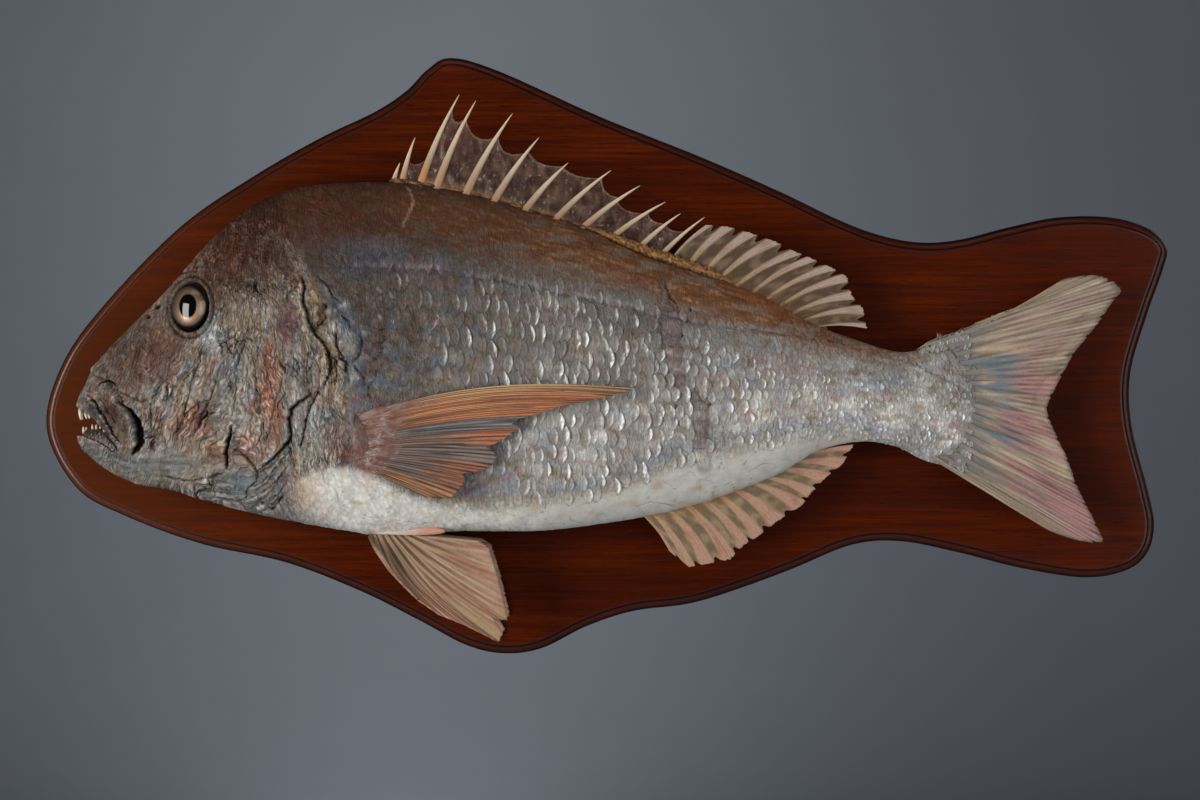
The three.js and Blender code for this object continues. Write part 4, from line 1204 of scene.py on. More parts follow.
def make_skin():
    """One skin over head, gill cover, jaws, trunk and tail stalk, with its folds raised and cut."""
    x, share = np.meshgrid(skin_stations(), skin_shares(), indexing="ij")
    depth = 0.5 + (COAT - 0.5) * ramp(x, -225, -190)
    points = form_point(x, share)
    normal = unit(np.cross(np.roll(points, -1, 1) - np.roll(points, 1, 1), np.gradient(points, axis=0)))
    flat = points[..., 1] > SEAT_Y - 0.01
    points = points - normal * np.where(flat, 0, depth * closing(x))[..., None]
    skin = piece("skin", points.reshape(-1, 3), tube_faces(*x.shape, flip=True), SKIN)
    cut(skin, mouth_room())
    smooth_near_mouth(skin)
    p, n = read_points(skin), read_normals(skin)
    px, py, pz = p.T
    relief = Relief(px, pz)
    head_relief(relief, px, pz)
    body_relief(relief, px, pz)
    near = ramp(py, MID_Y + 10, MID_Y - 6)
    along_jaw = np.maximum(px, -419)
    buried = ramp(py - flank(along_jaw, pz), 1.6, 3.5) * (px < -378)
    calm = 1 - 0.75 * ramp(pz - BACK(along_jaw), -14, -3) * ramp(px, -395, -380)
    height = relief.height * calm * near * (1 - buried) + 0.12 * noise_at(px, pz, 5, 101, py)
    height = np.where(py > SEAT_Y - 0.05, 0, height)
    shade = relief.shade * near
    write_points(skin, p + n * height[:, None])
    # Each flake's own lightness with painted highlights on crests, lumps and folds, then painted shade in
    # cracks, grooves and hollows.
    light = np.clip(relief.light * near, -0.8, 0.9)
    colour = marking(px, pz) * 1.04 * np.exp(0.82 * light)[:, None]
    colour = mix(colour, CREST_HIGHLIGHT, 0.45 * ramp(light, 0.25, 0.8) * (1 - 0.7 * ramp(pz, 40, 80)))
    colour = mix(colour, HOLLOW_SHADE, np.clip(shade, 0, 0.97))
    # Skin sunk inside the mouth is darker brown: painted shade in the mouth's recess.
    inside = buried * (px < -380)
    colour = mix(colour, tone(78, 50, 38), inside)
    metal = 0.55 * silver(px, pz) * (1 - shade)
    plaster = ramp(pz - BELLY_EDGE(px), 4, -4)
    rough = 0.38 + 0.06 * ramp(px, -230, -190) + 0.20 * plaster
    u, v = flow(px, pz)
    jaw = spot(px, pz, (-345, -88), (62, 20), 6)
    head = head_share(px, pz)
    crumpled = np.maximum(head, 0.25 * ramp(px + 0.5 * pz, -90, -150))
    wrinkle = (0.42 + 0.58 * crumpled) * (1 - 0.6 * jaw) * (1 - 0.85 * inside)
    wrinkle = wrinkle * (1 - 0.95 * plaster * ramp(px, -250, -230))
    dull = 0.42 * np.maximum(head * ramp(pz, 24, 76), ramp(pz - BROWN_EDGE(px), -10, 8))
    paint(skin.data, colour, {"metal": metal, "rough": rough, "wrinkle": wrinkle,
                              "hollow": np.maximum(shade, dull), "flow": np.stack([u, py * 0, v], -1)})
    ride(skin, "fish_skin", "head", "gill_cover", "upper_jaw", "lower_jaw", "trunk", "tail_stalk")


# ---- scales -------------------------------------------------------------------------------------
SCALE_ROWS = 22                     # rows from back to belly
SCALE_PITCH = 7.4                   # along a row
TAIL_PITCH = 4.6
SCALE_START, SCALE_END = -245, 289
SCALE_GRID = (9, 7)                 # points of one scale, across and along
COAT_PIECE = 880                    # scales in one piece
PATCH = 0.003                       # width of one scale on the bake's map
FIN_SCALE_PITCH, FIN_SCALE_HEIGHT = 3.3, 3.8


def scale_sites(rng):
    """Places of the scales' middles: staggered rows that run from the head to the root of the tail."""
    sites, x, column = [], float(SCALE_START), 0
    while x < SCALE_END:
        pitch = SCALE_PITCH + (TAIL_PITCH - SCALE_PITCH) * float(ramp(x, 40, 270))
        rows = np.arange(-8 + column % 2, SCALE_ROWS + 8, 2)
        share = (rows + 0.5) / SCALE_ROWS
        sites += [(x, s, pitch) for s in share]
        x += pitch / 2
        column += 1
    sites = np.array(sites)
    down = 300 * sites[:, 1]
    sites[:, 0] += 2.2 * noise_at(sites[:, 0], down, 35, 34)
    sites[:, 1] += 0.010 * noise_at(sites[:, 0], down, 28, 35)
    sites[:, 0] += rng.normal(size=len(sites)) * 0.13 * sites[:, 2]
    sites[:, 1] += rng.normal(size=len(sites)) * 0.13 / SCALE_ROWS
    return sites


def scale_cover(x, z, y):
    """True where the fish has scales that show."""
    near = y < MID_Y
    behind_head = x > SHOULDER_X(z) + 6
    off_shoulder = (x + 0.5 * z + 34 * noise_at(x, z, 14, 32) > -140) | ~near
    off_back = (z < BROWN_EDGE(x) + 2) | (x > 150) | ~near
    above_belly = z > BELLY_EDGE(x) + 1.5
    off_strip = strip_share(x, z) < 0.4
    off_fin_root = spot(x, z, (-190, -66), (36, 32)) < 0.35
    return (behind_head & off_shoulder & off_back & (above_belly | ~near) & off_strip & off_fin_root
            & (y < SEAT_Y - 2.5))


def make_coat(name, rng, sites, place, long, tall, raised, gleam, patch):
    """Scales as leaves: a grid of points on top, and a rim that repeats the grid's edge below.
    place(along, across) gives the surface and its outward direction for offsets in mm from each site,
    long and tall the size of each scale, raised how far its rear edge stands, gleam how strong the
    painted highlights on its rear part and rim are, and patch its place on the bake's map."""
    tips, lengths = SCALE_GRID
    count = len(sites)
    size = tips * lengths
    t, b = np.meshgrid(np.linspace(-1, 1, tips), np.linspace(0, 1, lengths) ** 0.8, indexing="ij")
    leaf = 0.04 + 0.96 * (1 - np.abs(t) ** 1.9)
    front, rear = -0.58 * leaf, 0.46 * leaf
    turn = 0.16 * rng.normal(size=count)
    tilt = 0.5 * rng.normal(size=count)
    turn, tilt, raised, long, tall, gleam = [
        values[:, None, None] for values in (turn, tilt, raised, long, tall, gleam)]
    lx = (front + (rear - front) * b)[None] * long
    ls = t[None] * tall + np.zeros_like(lx)
    lx, ls = lx * np.cos(turn) - ls * np.sin(turn), ls * np.cos(turn) + lx * np.sin(turn)
    surface, normal = place(lx, ls)
    px, pz = surface[..., 0], surface[..., 2]
    lift = 1.9 * b ** 2.6 * (1 - np.abs(t) ** 2.2) + 0.12 * b * (1 - t ** 2)
    high = raised * (lift[None] + tilt * t[None] * b[None])
    high = high + 0.36 * noise_at(px, pz, (2.0, 4.4), 110) * (b * (1 - t ** 2))[None]
    top = surface + normal * (high - COAT + 0.08)[..., None]
    bottom = surface - normal * (COAT + 0.45)

    lens = np.exp(-((b - 0.86) / 0.17) ** 2) * (1 - np.abs(t) ** 2.6)
    crumple = 0.25 + 1.1 * blotches(px, pz, (1.1, 3.2), 111, -0.35, 0.35)
    strength = np.clip(0.3 + 0.9 * raised, 0, 1)
    colour = marking(px, pz) * np.exp(0.09 * rng.normal(size=count))[:, None, None, None]
    # Raised scales are darker away from the lens at their rear: painted shade.
    colour = colour * (0.96 - 0.10 * strength * (1 - lens))[..., None]
    spotted = (rng.random(count) < 0.08)[:, None, None] * np.exp(-((b - 0.5) / 0.22) ** 2 - (t / 0.55) ** 2)
    colour = mix(colour, tone(132, 96, 74), 0.4 * spotted)
    # A painted highlight over the lens at the rear of each scale, broken by crumples, and another along its
    # rim.
    bright = gleam * (rng.random(count) ** 1.7)[:, None, None]
    lens_highlight = np.clip(2.0 * bright * strength * lens * crumple, 0, 0.96)
    colour = mix(colour, tone(255, 255, 252), lens_highlight)
    rim_light = (rng.random(count) ** 1.3)[:, None, None] * strength * gleam
    colour = mix(colour, tone(246, 246, 244), 0.9 * rim_light * (ramp(b, 0.86, 0.98) * (1 - t ** 2))[None])
    shine = silver(px, pz)
    metal = 0.70 * shine * (1 - 0.4 * lens_highlight)
    rough = 0.42 - 0.15 * shine
    local = np.stack([b, (t + 1) / 2], -1) - 0.5
    uv = patch[:, None, None] + local[None] * PATCH

    rim = grid_rim(tips, lengths)
    under = np.arange(len(rim)) + size
    wall = np.stack([rim, under, np.roll(under, -1), np.roll(rim, -1)], -1)
    quads = np.concatenate([grid_faces(tips, lengths), wall])

    def shell(values, lower=None):
        """Values of every scale's top, and of its rim again for the underside."""
        low_part = (values if lower is None else lower).reshape(count, size, -1)[:, rim]
        return np.concatenate([values.reshape(count, size, -1), low_part], axis=1)
    whole = [shell(top, bottom), shell(colour), shell(metal[..., None]), shell(rough[..., None]), shell(uv)]
    for k, first in enumerate(range(0, count, COAT_PIECE)):
        points, tint, shine, dull, corner = [v[first:first + COAT_PIECE] for v in whole]
        n = len(points)
        offset = (np.arange(n) * (size + len(rim)))[:, None, None]
        faces = [(quads[None] + offset).reshape(-1, 4), (under[None, None, ::-1] + offset).reshape(n, -1)]
        obj = piece(f"{name}_{k + 1}", points.reshape(-1, 3), faces, SCALE, tint.reshape(-1, 3),
                    {"metal": shine.ravel(), "rough": dull.ravel()}, corner.reshape(-1, 2))
        ride(obj, "fish_skin")


def make_scales():
    """The scales of both flanks."""
    rng = np.random.default_rng(7)
    sites = scale_sites(rng)
    x, y, z = form_point(sites[:, 0], sites[:, 1]).T
    keep = scale_cover(x, z, y) & (rng.random(len(sites)) > 0.02)
    sites, x, y, z = sites[keep], x[keep], y[keep], z[keep]
    count = len(sites)
    along_body, share = [column[:, None, None] for column in sites.T[:2]]

    def place(lx, ls):
        at = along_body + lx
        across = share + ls / girth(at)
        return form_point(at, across), form_normal(at, across)
    row = girth(sites[:, 0]) / SCALE_ROWS
    below_back = BROWN_EDGE(x) - z
    raised = ramp(x + 0.5 * z, -150, -60) * ramp(below_back, 4, 40) * ramp(below_back + 0.5 * x, -60, 20)
    raised = np.maximum(raised, 0.6 * ramp(x, 90, 160) * ramp(below_back, -22, 0))
    raised = (0.14 + 0.86 * raised) * np.where(y > MID_Y, 0.3, 1) * (0.14 + 0.024 * row)
    raised = raised * (0.34 + 1.9 * rng.random(count) ** 4)
    size = 1 + 0.12 * rng.normal(size=count)
    # How strong the scales' painted highlights are: none on the brown back and weaker towards the head.
    gleam = ramp(below_back, 0, 22) * (0.35 + 0.65 * ramp(sites[:, 0], -150, -50))
    patch = np.stack([(sites[:, 0] - SNOUT_X) / (ROOT_X - SNOUT_X), 0.25 + 0.5 * sites[:, 1]], -1)
    make_coat("scales", rng, sites, place, sites[:, 2] * size, 0.62 * row * size, raised, gleam, patch)


def make_tail_scales():
    """Small scales that run out over the root of the tail fin."""
    rng = np.random.default_rng(8)
    pitch, height = FIN_SCALE_PITCH, FIN_SCALE_HEIGHT
    x, z = np.meshgrid(np.arange(246, 306, pitch / 2), np.arange(-104, 26, height), indexing="ij")
    z = z + (np.arange(len(x)) % 2)[:, None] * height / 2
    x = (x + 0.5 * rng.normal(size=x.shape)).ravel()
    z = (z + 0.5 * rng.normal(size=z.shape)).ravel()
    end = 289 + 5 * noise_at(x, z, 7, 33) - 0.0012 * (z - ROOT_MIDDLE_Z) ** 2
    skin_end = ROOT_X - 7 - ROOT_BEND * (z - ROOT_MIDDLE_Z) ** 2
    bare = (x > skin_end) | (z > BACK(x) - 3) | (z < BELLY(x) + 3)
    in_fin = (z < 3 + 0.42 * (x - 247)) & (z > -78 - 0.56 * (x - 256))
    keep = (x < end) & bare & in_fin & (rng.random(len(x)) > 0.05)
    x, z, end = x[keep], z[keep], end[keep]
    half = 4.4 - 0.05 * np.maximum(x - 275, 0)

    def place(lx, ls):
        surface = np.stack([x[:, None, None] + lx, (MID_Y - half - COAT + 0.6)[:, None, None] + 0 * lx,
                            z[:, None, None] + ls], -1)
        return surface, np.broadcast_to([0.0, -1.0, 0.0], surface.shape)
    count = len(x)
    size = 1.15 + 0.12 * rng.normal(size=count)
    raised = 0.26 * (0.3 + 1.2 * rng.random(count) ** 1.6)
    patch = np.stack([(x - SNOUT_X) / (310 - SNOUT_X), (z + 300) / 600], -1)
    make_coat("tail_scales", rng, np.stack([x, z], -1), place, pitch * size, 0.66 * height * size, raised,
              np.full(count, 0.3), patch)


# ---- eye and teeth ------------------------------------------------------------------------------
# Rings of the iris from its middle: distance as a share of its half size, colour, metal.
IRIS = [(0.0, tone(3, 3, 3), 0), (0.47, tone(3, 3, 3), 0), (0.50, tone(10, 8, 6), 0),
        (0.53, tone(158, 124, 98), 0.3), (0.60, tone(184, 148, 116), 0.4), (0.68, tone(166, 134, 106), 0.4),
        (0.78, tone(132, 108, 90), 0.3), (0.87, tone(104, 84, 70), 0.2), (0.93, tone(58, 42, 32), 0.1),
        (0.97, tone(40, 27, 20), 0), (1.0, tone(24, 17, 13), 0)]
PUPIL_NARROWING = 0.90              # the pupil is taller than it is long
DOME_RINGS, BACK_RINGS, EYE_SIDES = 120, 30, 128


def make_eye():
    """A glass dome, turned forward and a little up, over an iris that faces straight out."""
    reach = np.concatenate([np.linspace(0.004, 1, DOME_RINGS), np.linspace(1, 0.3, BACK_RINGS)])
    front = np.arange(len(reach)) < DOME_RINGS
    r, a = np.meshgrid(reach, circle(EYE_SIDES), indexing="ij")
    bulge = np.sqrt(np.maximum(1 - r ** 2, 0))
    x = EYE["half_length"] * r * np.cos(a)
    z = EYE["half_height"] * r * np.sin(a)
    y = np.where(front[:, None], -EYE["depth"] * bulge, 0.45 * EYE["depth"] * bulge)
    c, s = math.cos(EYE["tilt"]), math.sin(EYE["tilt"])
    y, z = y * c + z * s, z * c - y * s
    c, s = math.cos(-EYE["turn"]), math.sin(-EYE["turn"])
    x, y = x * c - y * s, x * s + y * c
    points = np.stack([EYE["x"] + x, EYE["y"] + y, EYE["z"] + z], -1)
    seen_length = EYE["half_length"] * math.cos(EYE["turn"])
    from_front = np.hypot((x + 1.2) / seen_length, (z - 0.8) / EYE["half_height"])
    seen = np.where(front[:, None], np.maximum(from_front, ramp(r, 0.9, 1.0)), 1)
    turn = np.arctan2(z, x)
    narrowing = PUPIL_NARROWING + (1 - PUPIL_NARROWING) * ramp(seen, 0.5, 0.8)
    oval = seen * np.hypot(np.cos(turn) / narrowing, np.sin(turn) * (1.06 + 0.08 * ramp(seen, 0.5, 0.9)))
    stops = np.array([stop[0] for stop in IRIS])
    colour = np.stack([np.interp(oval, stops, [stop[1][k] for stop in IRIS]) for k in range(3)], -1)
    metal = np.interp(oval, stops, [stop[2] for stop in IRIS])
    fibres = noise(np.stack([turn * 9, seen * 6, np.zeros_like(r)], -1), 120)
    # Darker over the top of the iris and lighter towards its lower right: painted shade of the lid.
    side = 0.40 + 0.60 * ramp(0.45 * np.cos(turn) - np.sin(turn), -0.9, 1.1)
    colour = colour * ((1 + 0.10 * fibres) * side)[..., None]
    tube(points, EYE_GLASS, "eye", colour.reshape(-1, 3), {"metal": metal.ravel()})
    ride(bpy.data.objects["eye"], "eye_glass", "eye_left")


# Teeth: [x, z of the root, x, z of the point, distance from the middle of the mouth, radius].
UPPER_TEETH = [[-415, -41, -415.6, -51.5, 4, 1.9], [-410.6, -45, -410.2, -50.8, 7, 1.45],
               [-407.4, -47, -407.2, -50.2, 9, 0.8]]
LOWER_TEETH = [[-412, -62, -411.6, -56.6, 8, 1.3], [-404.4, -59, -404, -54.7, 12, 1.1],
               [-401.2, -59, -400.8, -55, 13, 1.1], [-398, -60, -397.6, -56.2, 14, 1.1],
               [-394.8, -61, -394.4, -57.2, 15, 1.1], [-391.6, -64, -391.2, -60.4, 16, 0.9]]
GUM_LINE = smooth([[-416, -66], [-412, -61], [-404, -57.5], [-396, -57.5], [-390, -63], [-385, -69.5],
                   [-381, -74]])
GUM_FOOT = smooth([[-416, -68.5], [-411, -69.5], [-404, -72.5], [-397, -75.5], [-391, -79], [-386, -82],
                   [-381, -83]])
GUM_HALF_THICKNESS = 3.2
GUM_GRID = (120, 28)                # points along it and round it
TOOTH_RINGS, TOOTH_SIDES = 9, 12


def make_gum():
    """The rough, dark gum of the lower jaw, bent round the front of the mouth."""
    side = np.linspace(-1, 1, GUM_GRID[0])
    x = -415 + 34 * np.abs(side) ** 1.7
    y = MID_Y + np.sign(side) * np.interp(x, [-415, -412, -400, -381], [0, 6, 12.5, 18.5])
    ss, aa = np.meshgrid(side, circle(GUM_GRID[1]), indexing="ij")
    lump = 1 + 0.22 * noise_at(ss * 22, aa * 2, 1, 122) + 0.14 * noise_at(ss * 50, aa * 3, 1, 123)
    middle = (GUM_LINE(x) + GUM_FOOT(x))[:, None] / 2
    half = (GUM_LINE(x) - GUM_FOOT(x))[:, None] / 2
    points = np.stack([x[:, None] + 0 * aa, y[:, None] + GUM_HALF_THICKNESS * lump * np.cos(aa),
                       middle + half * lump * np.sin(aa)], -1)
    pits = ramp(noise_at(ss * 40, aa * 3, 1, 124), -0.1, 0.5)
    colour = mix(tone(52, 38, 28), tone(10, 7, 5), pits)
    colour = mix(colour, tone(120, 104, 84), 0.7 * ramp(noise_at(ss * 60, aa * 4, 1, 125), 0.4, 0.7))
    tube(points, BONE, "lower_gum", colour.reshape(-1, 3), {"metal": 0, "rough": 0.4})
    ride(bpy.data.objects["lower_gum"], "fish_skin")


def make_teeth():
    """Curved pegs along both jaws, on either side of the mouth."""
    turn = circle(TOOTH_SIDES)
    points, colours, faces = [], [], []
    for x0, z0, x1, z1, across, radius in UPPER_TEETH + LOWER_TEETH:
        for hand in (-1, 1):
            root = np.array([x0, MID_Y + hand * across, z0])
            tip = np.array([x1, MID_Y + hand * (across + 0.4), z1])
            run = (tip - root) / np.linalg.norm(tip - root)
            side = np.cross(run, [0, 1, 0])
            side /= np.linalg.norm(side)
            other = np.cross(run, side)
            for share in np.linspace(0, 1, TOOTH_RINGS):
                r = radius * max((1 - share ** 2.2) ** 0.7, 0.06)
                middle = root + (tip - root) * share + side * 0.7 * share ** 2
                points += [middle + r * (math.cos(a) * side + math.sin(a) * other) for a in turn]
                colours += [mix(tone(140, 112, 82), tone(216, 202, 176), ramp(share, 0.1, 0.5))] * TOOTH_SIDES
            faces += tube_faces(TOOTH_RINGS, TOOTH_SIDES, len(points) - TOOTH_RINGS * TOOTH_SIDES)
    obj = piece("teeth", np.array(points), faces, BONE, np.array(colours), {"metal": 0, "rough": 0.28})
    ride(obj, "fish_skin")


# ---- fins ---------------------------------------------------------------------------------------
def sheet(name, grid, place, thickness, colour, nodes=(), rough=0.4):
    """A closed plate. place(u, v) gives its middle, thickness(u, v) how thick it is there and
    colour(u, v) its colour, for u across the fin and v from root to edge, both from 0 to 1. The grid
    is how many quads there are across and along."""
    u, v = np.meshgrid(*[np.linspace(0, 1, count + 1) for count in grid], indexing="ij")
    middle = place(u, v)
    across = unit(np.cross(np.gradient(middle, axis=0), np.gradient(middle, axis=1)))
    across *= np.where(across[..., 1] > 0, -1, 1)[..., None]
    half = across * (thickness(u, v)[..., None] / 2)
    points = np.concatenate([(middle + half).reshape(-1, 3), (middle - half).reshape(-1, 3)])
    colours = np.concatenate([colour(u, v).reshape(-1, 3)] * 2)
    obj = piece(name, points, [plate_faces(*u.shape)], FIN, colours, {"metal": 0, "rough": rough})
    ride(obj, "fin_skin", *nodes)


def ray_share(u, rays, v, width=0.3, split=(0.45, 0.72)):
    """How much a place belongs to a ray, from 0 between rays to 1 on them. A ray forks along v."""
    cell = u * rays
    first = np.abs(cell % 1 - 0.5)
    second = np.abs((cell * 2 + 0.5) % 1 - 0.5)
    third = np.abs(cell * 4 % 1 - 0.5)
    one = ramp(first, width * 0.5 + 0.06, width * 0.5 - 0.06)
    two = ramp(0.5 - second, width * 0.5 + 0.1, width * 0.5 - 0.02) * ramp(first, 0.46, 0.36)
    three = ramp(third, width * 0.75, width * 0.2) * ramp(first, 0.49, 0.42)
    fork, again = ramp(v, split[0] - 0.12, split[0] + 0.12), ramp(v, split[1] - 0.1, split[1] + 0.1)
    return (one * (1 - fork) + two * fork) * (1 - again) + three * again


def bowed(a, b, reach, bow):
    """x and z a share of the way from a to b, bent aside by a share of the length between them."""
    run_x, run_z = b[..., 0] - a[..., 0], b[..., 1] - a[..., 1]
    return a[..., 0] + run_x * reach - run_z * bow, a[..., 1] + run_z * reach + run_x * bow


TAIL_ROOT_LINE = [[245, 4], [259, 12], [272, 6], [285, -16], [290, -37], [286, -58], [274, -78], [254, -80]]
TAIL_TIP_LINE = [[364, 61], [386, 64], [400, 60], [409, 52], [402, 42], [387, 21], [372, 2], [361, -17],
                 [351, -37], [350, -46], [357, -64], [366, -83], [373, -103], [383, -123], [394, -146],
                 [388, -149], [372, -147], [352, -140]]
TAIL_RAYS, TAIL_GRID = 17, (440, 80)
TAIL_RAY_FORKS = (0.3, 0.6)         # shares of the length at which a ray forks
FIN_CREAM, FIN_ROSE, FIN_GREY = tone(176, 156, 126), tone(158, 108, 110), tone(104, 114, 120)
FIN_ORANGE, FIN_BROWN = tone(176, 118, 80), tone(84, 58, 42)


def make_tail_fin():
    """The forked tail fin, its rays fanning out from the scaly root."""
    root, tip = curve(TAIL_ROOT_LINE), curve(TAIL_TIP_LINE)

    def reach(u, v):
        cell = np.abs((u * TAIL_RAYS) % 1 - 0.5)
        frays = 0.012 * waves(u, v, 240, 0, 131) + 0.008 * waves(u, v, 60, 0, 132)
        return v * (0.985 - 0.02 * ramp(cell, 0.4, 0.5) + frays * ramp(v, 0.7, 1))

    def place(u, v):
        x, z = bowed(along(root, u), along(tip, u), reach(u, v), 0)
        wave = 1.6 * waves(u, v, 9, 1.5, 133) * v
        waist = 5.0 * arch(v) * ramp(u, 0.14, 0)
        return np.stack([x, MID_Y + wave, z - waist], -1)

    def thickness(u, v):
        body = 7.5 * (1 - v) ** 2.2 + 1.2 * (1 - v) + 1.1
        ray = ray_share(u, TAIL_RAYS, v, 0.5, TAIL_RAY_FORKS)
        edge = ramp(u, 0.06, 0.0) + ramp(u, 0.94, 1.0)
        return body * (0.62 + 0.38 * ray) + 1.1 * edge * (1 - 0.6 * v) + 0.45 * ray * ramp(v, 0.1, 0.4)

    def colour(u, v):
        ray = ray_share(u, TAIL_RAYS, v, 0.6, TAIL_RAY_FORKS)
        middle = ramp(np.abs(u - 0.52), 0.38, 0.2)
        c = mix(tone(132, 116, 100), tone(174, 158, 136), flecks(u, v, 46, 1.6, 134, -0.5, 0.6))
        rosy = ramp(v + 0.7 * u * (1 - u), 0.32, 0.66) * (0.3 + 0.7 * ramp(u, 0.12, 0.45))
        rosy = rosy * (1 - 0.6 * ramp(u, 0.9, 0.98))
        c = mix(c, FIN_ROSE, 0.75 * rosy * flecks(u, v, 15, 1.6, 142, -0.6, 0.4))
        c = mix(c, FIN_CREAM, 0.45 * flecks(u, v, 70, 3, 135, 0.1, 0.7))
        band = ramp(noise_at(u * 17 + 7, v * 1.1, 1, 136), -0.05, 0.3) * ramp(v, 0.68, 0.3)
        c = mix(c, FIN_GREY, 0.95 * band * middle)
        c = mix(c, FIN_ORANGE, 0.35 * flecks(u, v, 40, 2, 137, 0.2, 0.8))
        lines = 1 - 0.5 * (1 - ray) * np.clip(0.7 + 0.8 * waves(u, v, 15, 4, 143), 0.15, 1)
        c = c * (lines * (1 + 0.16 * waves(u, v, 130, 3, 144)))[..., None]
        bare_foot = ramp(v + 0.10 * waves(u, v, 24, 8, 141), 0.22 + 0.2 * (1 - middle), 0.04)
        c = mix(c, tone(112, 108, 104), 0.9 * bare_foot)
        stain = flecks(u, v, 30, 7, 138, 0.15, 0.6) * ramp(v, 0.7, 0.95) * ramp(u, 0.75, 0.3)
        c = mix(c, FIN_BROWN, 0.8 * stain)
        dark_streak = flecks(u, v, 60, 2.5, 145, 0.45, 0.7) * ramp(v, 0.4, 0.7) * ramp(u, 0.6, 0.8)
        c = mix(c, tone(60, 46, 42), 0.7 * dark_streak)
        edge = np.maximum(ramp(u, 0.12, 0.03), ramp(u, 0.9, 0.97))
        c = mix(c, tone(150, 136, 112), 0.7 * edge * (0.8 + 0.5 * waves(u, v, 160, 12, 139)))
        rim = ramp(v + 0.02 * waves(u, v, 60, 0, 146), 0.955, 0.99)
        c = mix(c, tone(84, 68, 54), 0.65 * rim)
        return c * (1 + 0.12 * waves(u, v, 220, 24, 140))[..., None]

    sheet("tail_fin_rays", TAIL_GRID, place, thickness, colour, ["tail_fin"], 0.42)


# Spines of the back fin: [x at the root, x and z of the tip, radius at the root].
DORSAL_SPINES = [
    [-169, -163, 152, 2.2], [-162, -151, 172, 2.6], [-148, -116, 206, 3.0], [-135, -103, 201, 3.1],
    [-112, -74, 191, 3.2], [-90, -53, 172, 3.0], [-66, -30, 152, 2.9], [-42, 4, 146, 2.7],
    [-21, 27, 134, 2.6], [0, 47, 121, 2.4], [21, 59, 112, 2.3], [38, 78, 109, 2.1]]
ROOT_DEPTH = 5
SPINE_BOW = 0.028
SPINE_GRID, WEB_GRID = (26, 16), (26, 44)
WEB_FOOT = 0.02                     # share of a spine's length at which the skin starts
# Where the skin between two spines is fixed, as shares of the front and the rear spine, and its sag.
WEB_FIXING = [(0.45, 0.35, 0.05), (0.5, 0.36, 0.10), (0.86, 0.80, 0.09), (0.80, 0.70, 0.10),
              (0.74, 0.76, 0.12), (0.80, 0.92, 0.10), (0.90, 0.84, 0.07), (0.86, 0.70, 0.09),
              (0.64, 0.68, 0.08), (0.72, 0.72, 0.07), (0.70, 0.66, 0.06)]


def spine_line(row):
    """share -> x and z along a spine's middle."""
    x0, x1, z1 = row[:3]
    root = np.array([x0, float(BACK(x0)) - ROOT_DEPTH])
    run = np.array([x1, z1]) - root
    across = np.array([-run[1], run[0]])

    def at(share):
        share = np.asarray(share, float)[..., None]
        return root + run * share + across * SPINE_BOW * 4 * share * (1 - share)
    return at


def make_spines():
    """The stiff spines of the back fin, bowed a little and tapering to a point."""
    steps, sides = SPINE_GRID
    turn = circle(sides)
    points, colours, faces = [], [], []
    for k, row in enumerate(DORSAL_SPINES):
        at = spine_line(row)
        share = np.linspace(0, 1, steps)
        p = at(share)
        run = unit(np.gradient(p, axis=0))
        side = np.stack([-run[:, 1], run[:, 0]], -1)
        radius = 0.92 * row[3] * (1 - share ** 1.5) ** 0.85 * (1 - 0.25 * share) + 0.2
        for i in range(steps):
            ridge = radius[i] * (1 + 0.12 * np.cos(turn * 2))
            x, z = (p[i] + side[i] * (ridge * np.cos(turn))[:, None]).T
            points += list(np.stack([x, MID_Y + 0.85 * ridge * np.sin(turn), z], -1))
            ivory = mix(tone(158, 142, 116), tone(212, 188, 158), ramp(share[i], 0.1, 0.7))
            root = (0.8 if k < 3 else 0.35) * float(ramp(share[i], 0.45, 0.1))
            # Each spine is lighter on its left side and darker on its right: painted light and shade.
            colours += [mix(ivory, tone(196, 124, 74), root) * (0.86 + 0.14 * math.cos(a)) for a in turn]
        faces += tube_faces(steps, sides, k * steps * sides, flip=True)
    obj = piece("dorsal_spines", np.array(points), faces, BONE, np.array(colours), {"metal": 0, "rough": 0.3})
    ride(obj, "fin_skin", "dorsal_fin_spiny")


